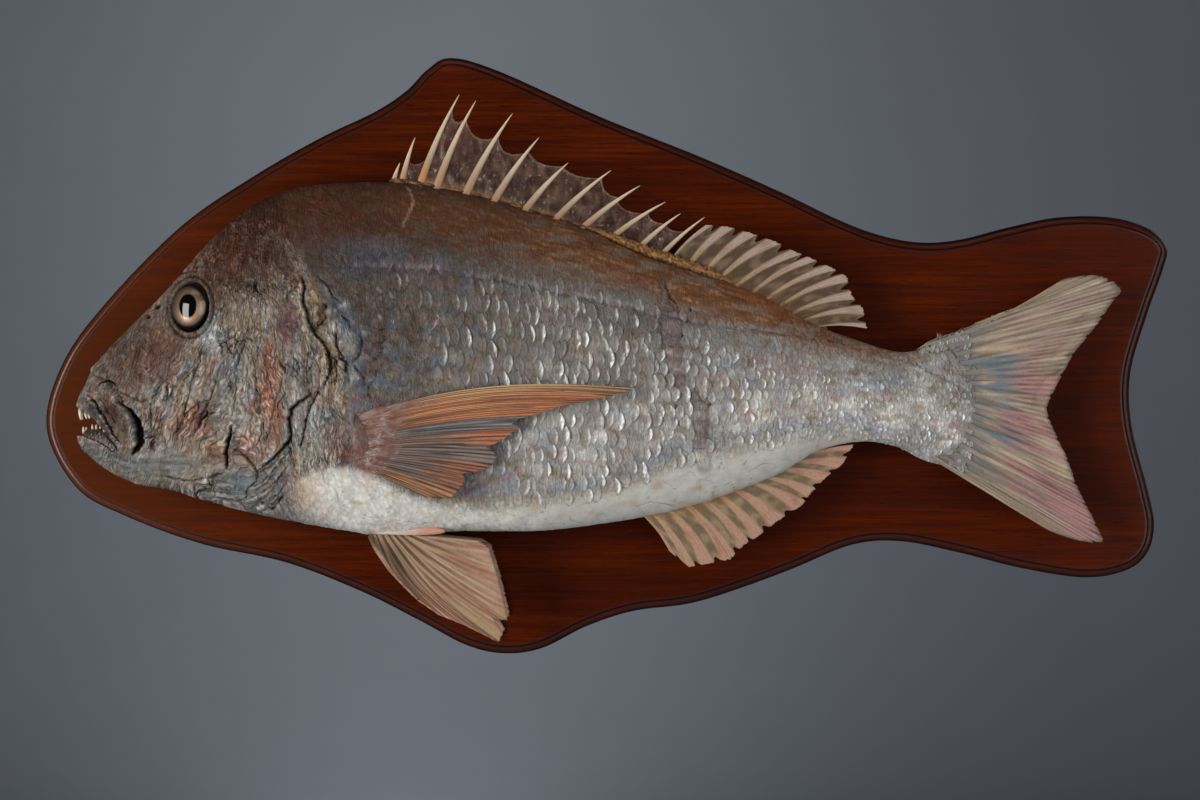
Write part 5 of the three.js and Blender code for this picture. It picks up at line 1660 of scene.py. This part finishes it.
def make_spiny_web():
    """The skin between the spines: thin, crinkled, and sagging between its fixings."""
    cols, rows = WEB_GRID
    points, colours, faces, covers = [], [], [], []
    for k, (front, rear, sag) in enumerate(WEB_FIXING):
        a, b = spine_line(DORSAL_SPINES[k]), spine_line(DORSAL_SPINES[k + 1])
        s, v = np.meshgrid(np.linspace(0, 1, cols), np.linspace(0, 1, rows), indexing="ij")
        top = front + (rear - front) * s - sag * 4 * s * (1 - s)
        top = top + 0.012 * noise_at(s * 14 + k * 9, s * 0, 1, 150)
        rise = WEB_FOOT + (top - WEB_FOOT) * v
        xz = a(rise) * (1 - s)[..., None] + b(rise) * s[..., None]
        x, z = xz[..., 0], xz[..., 1]
        crinkle = 0.9 * noise_at(x, z, (5, 9), 151) + 0.5 * noise_at(x, z, 2.6, 152)
        y = MID_Y + crinkle * np.sin(np.pi * s) ** 0.5
        film = mix(tone(70, 46, 34), tone(120, 92, 72), blotches(x, z, (6, 10), 153, -0.3, 0.7))
        # Pale flecks: painted glints on the crinkles of the skin.
        pale = 0.75 * blotches(x, z, (1.6, 3.6), 154, 0.42, 0.75) * blotches(x, z, 16, 155, -0.2, 0.5)
        film = mix(film, tone(206, 190, 170), pale)
        ochre = 0.75 * ramp(v, 0.22, 0.05) * blotches(x, z, 4, 156, -0.5, 0.2)
        film = mix(film, tone(168, 116, 62), ochre)
        film = mix(film, tone(150, 120, 96), 0.6 * ramp(v, 0.95, 1))
        glint = blotches(x, z, (1.6, 3.6), 154, 0.35, 0.7)
        cover = 0.30 + 0.45 * ramp(v, 0.3, 0.02) + 0.4 * glint + 0.35 * ramp(v, 0.95, 1)
        cover = np.clip(cover + 0.25 * noise_at(x, z, 9, 157), 0.12, 0.98)
        for side in (-0.22, 0.22):
            points.append(np.stack([x, y + side * (1 + 1.6 * ramp(v, 0.2, 0)), z], -1).reshape(-1, 3))
            colours.append(film.reshape(-1, 3))
            covers.append(cover.ravel())
        faces.append(plate_faces(cols, rows, 2 * k * cols * rows))
    obj = piece("dorsal_web", np.concatenate(points), [np.concatenate(faces)], WEB, np.concatenate(colours),
                {"metal": 0, "rough": 0.22, "cover": np.concatenate(covers)})
    ride(obj, "fin_skin")


SEAM_SPAN, SEAM_STEP, SEAM_SIDES = (-172, 176), 0.9, 22


def make_back_seam():
    """The crumbly ochre tissue along the foot of the back fins."""
    x = np.arange(*SEAM_SPAN, SEAM_STEP)
    swell = 1.2 + 4.2 * ramp(x, -30, 24) * ramp(x, 108, 78) + 1.4 * ramp(x, -120, -160)
    ends = np.minimum(1, np.minimum(x - x[0], x[-1] - x) / 5) ** 0.5
    xx, aa = np.meshgrid(x, circle(SEAM_SIDES), indexing="ij")
    lump = 1 + 0.42 * noise_at(xx, aa * 3, (2.4, 1.0), 160) + 0.25 * noise_at(xx, aa * 6, (1.1, 1.0), 161)
    r = (swell * ends)[:, None] * lump
    z0 = BACK(x)[:, None] - 0.8 + 0.35 * (swell * ends)[:, None]
    points = np.stack([xx, MID_Y + 1.25 * r * np.cos(aa), z0 + 0.95 * r * np.sin(aa)], -1)
    colour = mix(tone(160, 112, 58), tone(92, 60, 36), blotches(xx, aa * 3, (3, 1), 162, -0.4, 0.5))
    colour = mix(colour, tone(186, 146, 90), 0.7 * blotches(xx, aa * 5, (1.6, 1), 163, 0.3, 0.7))
    burnt = 0.8 * ramp(xx, 10, -30) * blotches(xx, aa, (7, 2), 164, -0.5, 0.1)
    colour = mix(colour, tone(46, 30, 20), burnt)
    # Darker along the underside: painted shade.
    colour = mix(colour, tone(30, 20, 14), 0.85 * ramp(-np.sin(aa), 0.0, 0.7))
    colour = mix(colour, tone(120, 84, 56), 0.6 * ramp(xx, 60, 110))
    tube(points, FIN, "dorsal_seam", colour.reshape(-1, 3), {"metal": 0, "rough": 0.5})
    ride(bpy.data.objects["dorsal_seam"], "fin_skin")


# Soft rays of the back fin and of the anal fin: x, z at the root and at the tip.
SOFT_DORSAL_RAYS = [[47, 70, 80, 104], [62, 66, 97, 102], [75, 61, 113, 96], [87, 58, 131, 89],
                    [100, 52, 152, 81], [113, 47, 161, 76], [125, 43, 178, 69], [136, 38, 188, 61],
                    [146, 32, 195, 47], [155, 27, 202, 36], [162, 21, 208, 21]]
ANAL_RAYS = [[26, -124, 50, -155], [36, -124, 66, -168], [50, -122, 80, -166], [64, -118, 97, -160],
             [76, -114, 110, -150], [89, -110, 120, -145], [100, -105, 137, -134], [112, -100, 155, -118],
             [122, -96, 162, -110], [132, -90, 174, -97], [140, -86, 184, -86], [146, -84, 195, -71]]
RAY_GRID = (32, 52)                 # quads across the cell of one ray and along it


def make_ray_fin(name, node, rays, width, colours, seed, notch):
    """An upright fin whose rays widen into fans. Each ray owns a cell from midway to its neighbours."""
    table = np.array(rays, float)
    count = len(table)
    index = np.arange(count) / (count - 1)
    rng = np.random.default_rng(seed)
    length = 1 + 0.03 * rng.normal(size=count)

    def cell(u):
        return u * (count - 1) + 0.5

    def place(u, v):
        inside = np.abs(cell(u) % 1 - 0.5)
        teeth = 0.018 * waves(u, v, count * 9, 0, seed + 1)
        teeth = teeth + 0.012 * waves(u, v, count * 26, 0, seed + 2)
        gap = notch * ramp(inside, 0.30, 0.5)
        reach = v * (1 - (gap - teeth) * ramp(v, 0.45, 1.0)) * np.interp(u, index, length)
        coords = np.stack([np.interp(u, index, table[:, k]) for k in range(4)], -1)
        x, z = bowed(coords[..., :2], coords[..., 2:], reach, 0.05 * arch(v))
        y = MID_Y + 1.3 * waves(u, v, 6, 1.4, seed + 3) * v
        return np.stack([x, y, z], -1)

    def ray(u, v):
        inside = np.abs(cell(u) % 1 - 0.5)
        broad = width[0] + (width[1] - width[0]) * v ** 1.3
        body = ramp(inside, broad + 0.07, broad - 0.07)
        lines = 0.5 + 0.5 * np.cos(2 * np.pi * cell(u) * 7) * ramp(v, 0.25, 0.6)
        return body, lines

    def thickness(u, v):
        body, lines = ray(u, v)
        return 0.7 + 3.2 * (1 - v) ** 2 + body * (1.5 * (1 - 0.65 * v)) * (0.8 + 0.2 * lines)

    def colour(u, v):
        body, lines = ray(u, v)
        pale = mix(colours["ray_root"], colours["ray_tip"], ramp(v, 0.15, 0.7))
        pale = mix(pale, colours["ray_tint"], 0.6 * flecks(u, v, count * 3, 3, seed + 4, 0.0, 0.6))
        film = mix(colours["film"], colours["film_tint"], flecks(u, v, count * 2, 5, seed + 5, -0.2, 0.6))
        c = mix(film, pale, body * (0.72 + 0.28 * lines))
        foot = ramp(v, 0.24, 0.06) * flecks(u, v, count * 5, 22, seed + 6, -0.4, 0.3)
        c = mix(c, colours["foot"], 0.8 * foot)
        return 0.82 * c * (1 + 0.16 * waves(u, v, count * 16, 16, seed + 7))[..., None]

    sheet(name, ((count - 1) * RAY_GRID[0], RAY_GRID[1]), place, thickness, colour, [node], 0.38)


PELVIC_ROOT = [[-186, -140], [-178, -139], [-168, -139], [-157, -140]]
PELVIC_TIP = [[-178, -154], [-162, -177], [-146, -193], [-130, -204], [-108, -213], [-84, -225], [-81, -218],
              [-89, -206], [-77, -208], [-80, -193], [-84, -178], [-88, -163], [-92, -151], [-100, -146]]
PELVIC_SPREAD, PELVIC_FLARE = 9, 20
PELVIC_RAYS, PELVIC_GRID = 7, (200, 56)


def make_pelvic_fin(name, node, hand):
    """A belly fin that leans outwards: hand is -1 for the near one and 1 for the far one."""
    root, tip = curve(PELVIC_ROOT), np.array(PELVIC_TIP, float)

    def place(u, v):
        teeth = 0.016 * waves(u, v, 90, 0, 171) + 0.012 * waves(u, v, 300, 0, 172)
        reach = v * (1 + teeth * ramp(v, 0.6, 1) * ramp(u, 0.25, 0.5))
        a, b = along(root, u), along(tip, u ** 0.8)
        x, z = bowed(a, b, reach, -0.10 * arch(v) * (1 - u))
        y = MID_Y + hand * (PELVIC_SPREAD + PELVIC_FLARE * v) + 1.4 * waves(u, v, 5, 1.5, 173) * v
        return np.stack([x, y, z], -1)

    def ray(u, v):
        return ray_share(u, PELVIC_RAYS, v, 0.62, (0.35, 0.62))

    def thickness(u, v):
        raised = ray(u, v) * 1.2 + 1.2 * ramp(u, 0.06, 0)
        return 0.8 + 4.6 * (1 - v) ** 2.4 + raised * (1 - 0.5 * v)

    def colour(u, v):
        c = mix(tone(168, 138, 106), tone(158, 114, 92), flecks(u, v, 18, 2, 174, -0.3, 0.5))
        c = mix(c, tone(146, 76, 66), 0.75 * flecks(u, v, 30, 2, 175, 0.0, 0.5) * ramp(v, 0.3, 0.6))
        c = mix(c, tone(196, 176, 150), 0.6 * flecks(u, v, 44, 2, 178, 0.2, 0.7))
        c = mix(c, tone(74, 60, 46), 0.85 * (1 - ray(u, v)) * ramp(v, 1.1, 0.2))
        c = mix(c, tone(148, 110, 96), 0.6 * ramp(v, 0.88, 0.99) * flecks(u, v, 40, 9, 176, -0.3, 0.4))
        return 0.85 * c * (1 + 0.16 * waves(u, v, 120, 16, 177))[..., None]

    sheet(name, PELVIC_GRID, place, thickness, colour, [node], 0.42)


def make_pelvic_scale():
    """The long pointed scale above the root of each belly fin."""
    def place(u, v):
        x = -180 + 54 * v
        z = -135.5 - 3.2 * v + (u - 0.5) * 9.5 * (1 - v ** 2.4) ** 0.6
        return np.stack([x, MID_Y - 15 - 3 * v - 2.5 * np.cos((u - 0.5) * 2.4), z], -1)

    def colour(u, v):
        c = mix(tone(200, 184, 168), tone(186, 134, 116), ramp(v, 0.2, 0.8))
        return c * (1 + 0.12 * waves(u, v, 6, 10, 181))[..., None]

    sheet("pelvic_scale", (20, 60), place, lambda u, v: 1.0 + 1.4 * (1 - v), colour)


PECTORAL_ROOT = [[-192, -46], [-188, -52], [-186, -60], [-186, -70], [-188, -78], [-194, -87]]
PECTORAL_TIP = [[22, -26], [14, -30], [-8, -35], [-38, -41], [-56, -49], [-62, -56], [-72, -60], [-78, -68],
                [-82, -78], [-90, -87], [-99, -93], [-111, -102], [-121, -112], [-133, -114]]
PECTORAL_RAYS, PECTORAL_GRID = 44, (440, 80)
# Colours its rays take at random: share across at which each set starts, the rays' and their tips'.
PECTORAL_TONES = [
    (0.00, [tone(204, 164, 118), tone(190, 138, 94), tone(212, 178, 132)], tone(192, 146, 104)),
    (0.09, [tone(182, 118, 78), tone(196, 136, 92), tone(160, 98, 66), tone(202, 154, 108)],
     tone(178, 112, 74)),
    (0.42, [tone(100, 104, 106), tone(88, 86, 86), tone(122, 108, 98)], tone(104, 102, 100)),
    (0.50, [tone(124, 96, 80), tone(96, 90, 86), tone(148, 104, 80)], tone(158, 96, 68)),
    (0.62, [tone(96, 98, 102), tone(116, 98, 86), tone(84, 78, 76)], tone(118, 104, 94)),
    (0.70, [tone(116, 92, 80), tone(92, 88, 86), tone(134, 100, 80)], tone(142, 92, 70)),
    (0.88, [tone(146, 104, 72), tone(118, 82, 60), tone(164, 122, 84)], tone(156, 108, 74))]
PECTORAL_ENDS = [0.0, 0.46, 0.62, 0.79, 1.001]      # shares at which the fin's edge is notched
PECTORAL_LIFT = (0.8, 11.0)


def make_pectoral_fin():
    """The long breast fin that lies along the flank and lifts off it towards its tips."""
    root, tip = curve(PECTORAL_ROOT), np.array(PECTORAL_TIP, float)
    rng = np.random.default_rng(190)
    ends = np.array(PECTORAL_ENDS)
    rays = PECTORAL_RAYS
    starts = np.array([group[0] for group in PECTORAL_TONES])
    group_of_ray = np.searchsorted(starts, (np.arange(rays) + 0.5) / rays, side="right") - 1
    sets = [PECTORAL_TONES[k] for k in group_of_ray]
    ray_tone = np.array([tones[rng.integers(len(tones))] for _, tones, _ in sets])
    tip_tone = np.array([tips for _, _, tips in sets]) * (1 + 0.15 * rng.normal(size=(rays, 1)))

    def place(u, v):
        k = np.clip(np.searchsorted(ends, u, side="right") - 1, 0, len(ends) - 2)
        inside = (u - ends[k]) / (ends[k + 1] - ends[k])
        notch = np.where(k == 0, 0.10 * ramp(inside, 0.8, 1), 0.12 * (2 * np.abs(inside - 0.5)) ** 2.5)
        teeth = 0.014 * waves(u, v, 200, 0, 191) + 0.010 * waves(u, v, 500, 0, 197)
        a, b = along(root, u), along(tip, u)
        reach = v * (1 + (teeth - notch) * ramp(v, 0.5, 1))
        x, z = bowed(a, b, reach, (0.012 + 0.040 * ramp(u, 0.6, 0)) * arch(v))
        lift = PECTORAL_LIFT[0] + (PECTORAL_LIFT[1] - PECTORAL_LIFT[0]) * reach ** 0.8
        lift = lift + 0.9 * waves(u, v, 7, 1, 192) * v + 2.8 * (1 - v) ** 5 * ramp(v, 0, 0.12)
        lift = lift + 0.8 * waves(u, v, 12, 14, 202) * ramp(v, 0.3, 0.15) - 2.4 * (1 - v) ** 12
        return np.stack([x, flank(x, z) - lift, z], -1)

    def swayed(u, v):
        return u + 0.003 * waves(u, v, 30, 2, 198)

    def fine(u, v):
        return 0.5 - 0.5 * np.cos(2 * np.pi * swayed(u, v) * rays)

    def thickness(u, v):
        return 0.9 + 4.5 * (1 - v) ** 4 + 1.1 * fine(u, v) * (1 - 0.4 * v)

    def colour(u, v):
        k = np.clip((swayed(u, v) * rays).astype(int), 0, rays - 1)
        c = mix(ray_tone[k], tip_tone[k], ramp(v, 0.45, 0.85))
        c = mix(c, tone(60, 38, 30), 0.8 * flecks(u, v, 80, 2.4, 194, 0.1, 0.45))
        c = mix(c, tone(206, 178, 142), 0.4 * flecks(u, v, 100, 2.2, 195, 0.2, 0.7) * ramp(u, 0.9, 0.3))
        c = c * (0.42 + 0.58 * fine(u, v))[..., None]
        foot = mix(tone(112, 72, 60), tone(124, 104, 96), flecks(u, v, 12, 18, 200, -0.3, 0.5))
        # A net of crumples over the fleshy root: painted highlights along its lines and painted shade between
        # them.
        net = np.abs(waves(u, v, 26, 34, 203))
        pale = ramp(net, 0.16, 0.02) * flecks(u, v, 6, 8, 204, -0.5, 0.3)
        foot = mix(foot, tone(176, 168, 164), 0.5 * pale)
        foot = mix(foot, tone(52, 36, 30), 0.5 * ramp(net, 0.4, 0.8))
        c = mix(c, foot, 0.9 * ramp(v + 0.12 * waves(u, v, 26, 6, 199), 0.32, 0.12))
        return 1.1 * c * (1 + 0.18 * waves(u, v, 240, 14, 196))[..., None]

    sheet("pectoral_fin", PECTORAL_GRID, place, thickness, colour, ["pectoral_fin_left"], 0.36)


# ---- studio -------------------------------------------------------------------------------------
FLOOR_Z, HALF_FLOOR = -1500, 9000
SWEEP_START, SWEEP_RADIUS, SWEEP_TOP = 9000, 2000, 8000


def make_studio():
    """A pale floor that sweeps up into a far backdrop."""
    turn = np.linspace(0, math.pi / 2, 24)
    profile = [(-HALF_FLOOR, FLOOR_Z), (SWEEP_START, FLOOR_Z)]
    for a in turn[1:]:
        profile.append((SWEEP_START + SWEEP_RADIUS * math.sin(a), FLOOR_Z + SWEEP_RADIUS * (1 - math.cos(a))))
    profile.append((SWEEP_START + SWEEP_RADIUS, SWEEP_TOP))
    points = np.array([[x, y, z] for x in (-HALF_FLOOR, HALF_FLOOR) for y, z in profile])
    n = len(profile)
    quads = np.array([[i, n + i, n + i + 1, i + 1] for i in range(n - 1)])
    paper = plain_material("studio_paper", tone(182, 187, 196), 0.75)
    floor = piece("studio_floor", points, [quads], paper, closed=False)


def make_light(name, place, target, size, power, colour):
    """A rectangular lamp aimed at its target, in mm and watts."""
    lamp = bpy.data.lights.new(name, "AREA")
    lamp.shape = "RECTANGLE"
    lamp.size, lamp.size_y = size[0] * MM, size[1] * MM
    lamp.energy = power
    lamp.color = colour
    obj = bpy.data.objects.new(name, lamp)
    obj.location = [c * MM for c in place]
    aim = np.array(target, float) - np.array(place, float)
    yaw = math.atan2(aim[0], aim[1])
    pitch = math.atan2(aim[2], math.hypot(aim[0], aim[1]))
    obj.rotation_euler = (math.pi / 2 + pitch, 0, -yaw)
    bpy.context.scene.collection.objects.link(obj)


def make_lights():
    make_light("key", (-2700, -2600, -100), (-60, -60, -30), (1600, 2700), 125, (1, 0.985, 0.96))
    make_light("fill", (2500, -2500, 300), (80, -60, 0), (3200, 3200), 66, (0.95, 0.975, 1))
    make_light("top", (-200, -1300, 2300), (0, -40, 0), (1800, 900), 6, (0.97, 0.985, 1))
    make_light("rear", (2600, 2400, 1500), (0, 0, 0), (1400, 1400), 45, (0.97, 0.985, 1))
    make_light("backdrop_glow", (-700, 8600, 700), (-700, 11000, 700), (500, 4000), 15, (0.93, 0.96, 1))
    world = bpy.data.worlds.new("studio_air")
    world.use_nodes = True
    background = world.node_tree.nodes["Background"]
    background.inputs["Color"].default_value = (0.78, 0.86, 1.0, 1)
    background.inputs["Strength"].default_value = 0.035
    bpy.context.scene.world = world


def make_camera():
    data = bpy.data.cameras.new("camera")
    data.lens = LENS
    data.sensor_width = 36
    data.clip_end = 60
    camera = bpy.data.objects.new("camera", data)
    camera.location = [c * MM for c in CAMERA_PLACE]
    camera.rotation_euler = (math.pi / 2, 0, 0)
    bpy.context.scene.collection.objects.link(camera)
    bpy.context.scene.camera = camera


# ---- the whole ----------------------------------------------------------------------------------
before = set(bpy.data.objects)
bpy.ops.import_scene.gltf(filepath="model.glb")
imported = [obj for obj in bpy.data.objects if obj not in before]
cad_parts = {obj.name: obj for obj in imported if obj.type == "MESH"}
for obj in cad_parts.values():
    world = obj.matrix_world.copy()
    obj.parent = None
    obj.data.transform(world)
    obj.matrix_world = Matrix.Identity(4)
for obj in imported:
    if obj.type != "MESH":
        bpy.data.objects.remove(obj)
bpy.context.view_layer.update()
make_camera()
bpy.context.scene.view_settings.view_transform = "Standard"

WOOD = wood_material()
SKIN = flesh_material("skin", 0.0011, 0.0001, 0.07, 0.3, wrinkled=True, crumple=0.0004)
SCALE = flesh_material("scale", 0.0011, 0.00030, 0.12, 0.5, crumple=0.0013)
FIN = flesh_material("fin", 0.0007, 0.00010, 0.14, 0.2)
WEB = flesh_material("web", 0.0016, 0.00060, 0.22, 0.6, film=True)
BONE = flesh_material("bone", 0.0008, 0.00004, 0.08, 0.3)
EYE_GLASS = eye_material()
BRASS = brass_material()

make_studio()
make_lights()
make_board()
for number in range(1, len(SCREWS) + 1):
    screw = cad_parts[f"screw_{number}"]
    screw.data.materials.clear()
    screw.data.materials.append(BRASS)
make_skin()
make_scales()
make_tail_scales()
make_eye()
make_teeth()
make_gum()
make_tail_fin()
make_spines()
make_spiny_web()
make_back_seam()
make_ray_fin("dorsal_fin_rays", "dorsal_fin_soft", SOFT_DORSAL_RAYS, (0.10, 0.27), {
    "ray_root": tone(172, 148, 108), "ray_tip": tone(184, 160, 142), "ray_tint": tone(166, 128, 106),
    "film": tone(84, 64, 44), "film_tint": tone(118, 94, 70), "foot": tone(120, 78, 42)}, 210, 0.13)
make_ray_fin("anal_fin_rays", "anal_fin", ANAL_RAYS, (0.16, 0.36), {
    "ray_root": tone(186, 150, 112), "ray_tip": tone(186, 144, 122), "ray_tint": tone(168, 104, 82),
    "film": tone(116, 96, 72), "film_tint": tone(150, 126, 98), "foot": tone(150, 106, 52)}, 230, 0.09)
make_pelvic_fin("pelvic_fin_near", "pelvic_fin_left", -1)
make_pelvic_fin("pelvic_fin_far", "pelvic_fin_right", 1)
make_pelvic_scale()
make_pectoral_fin()
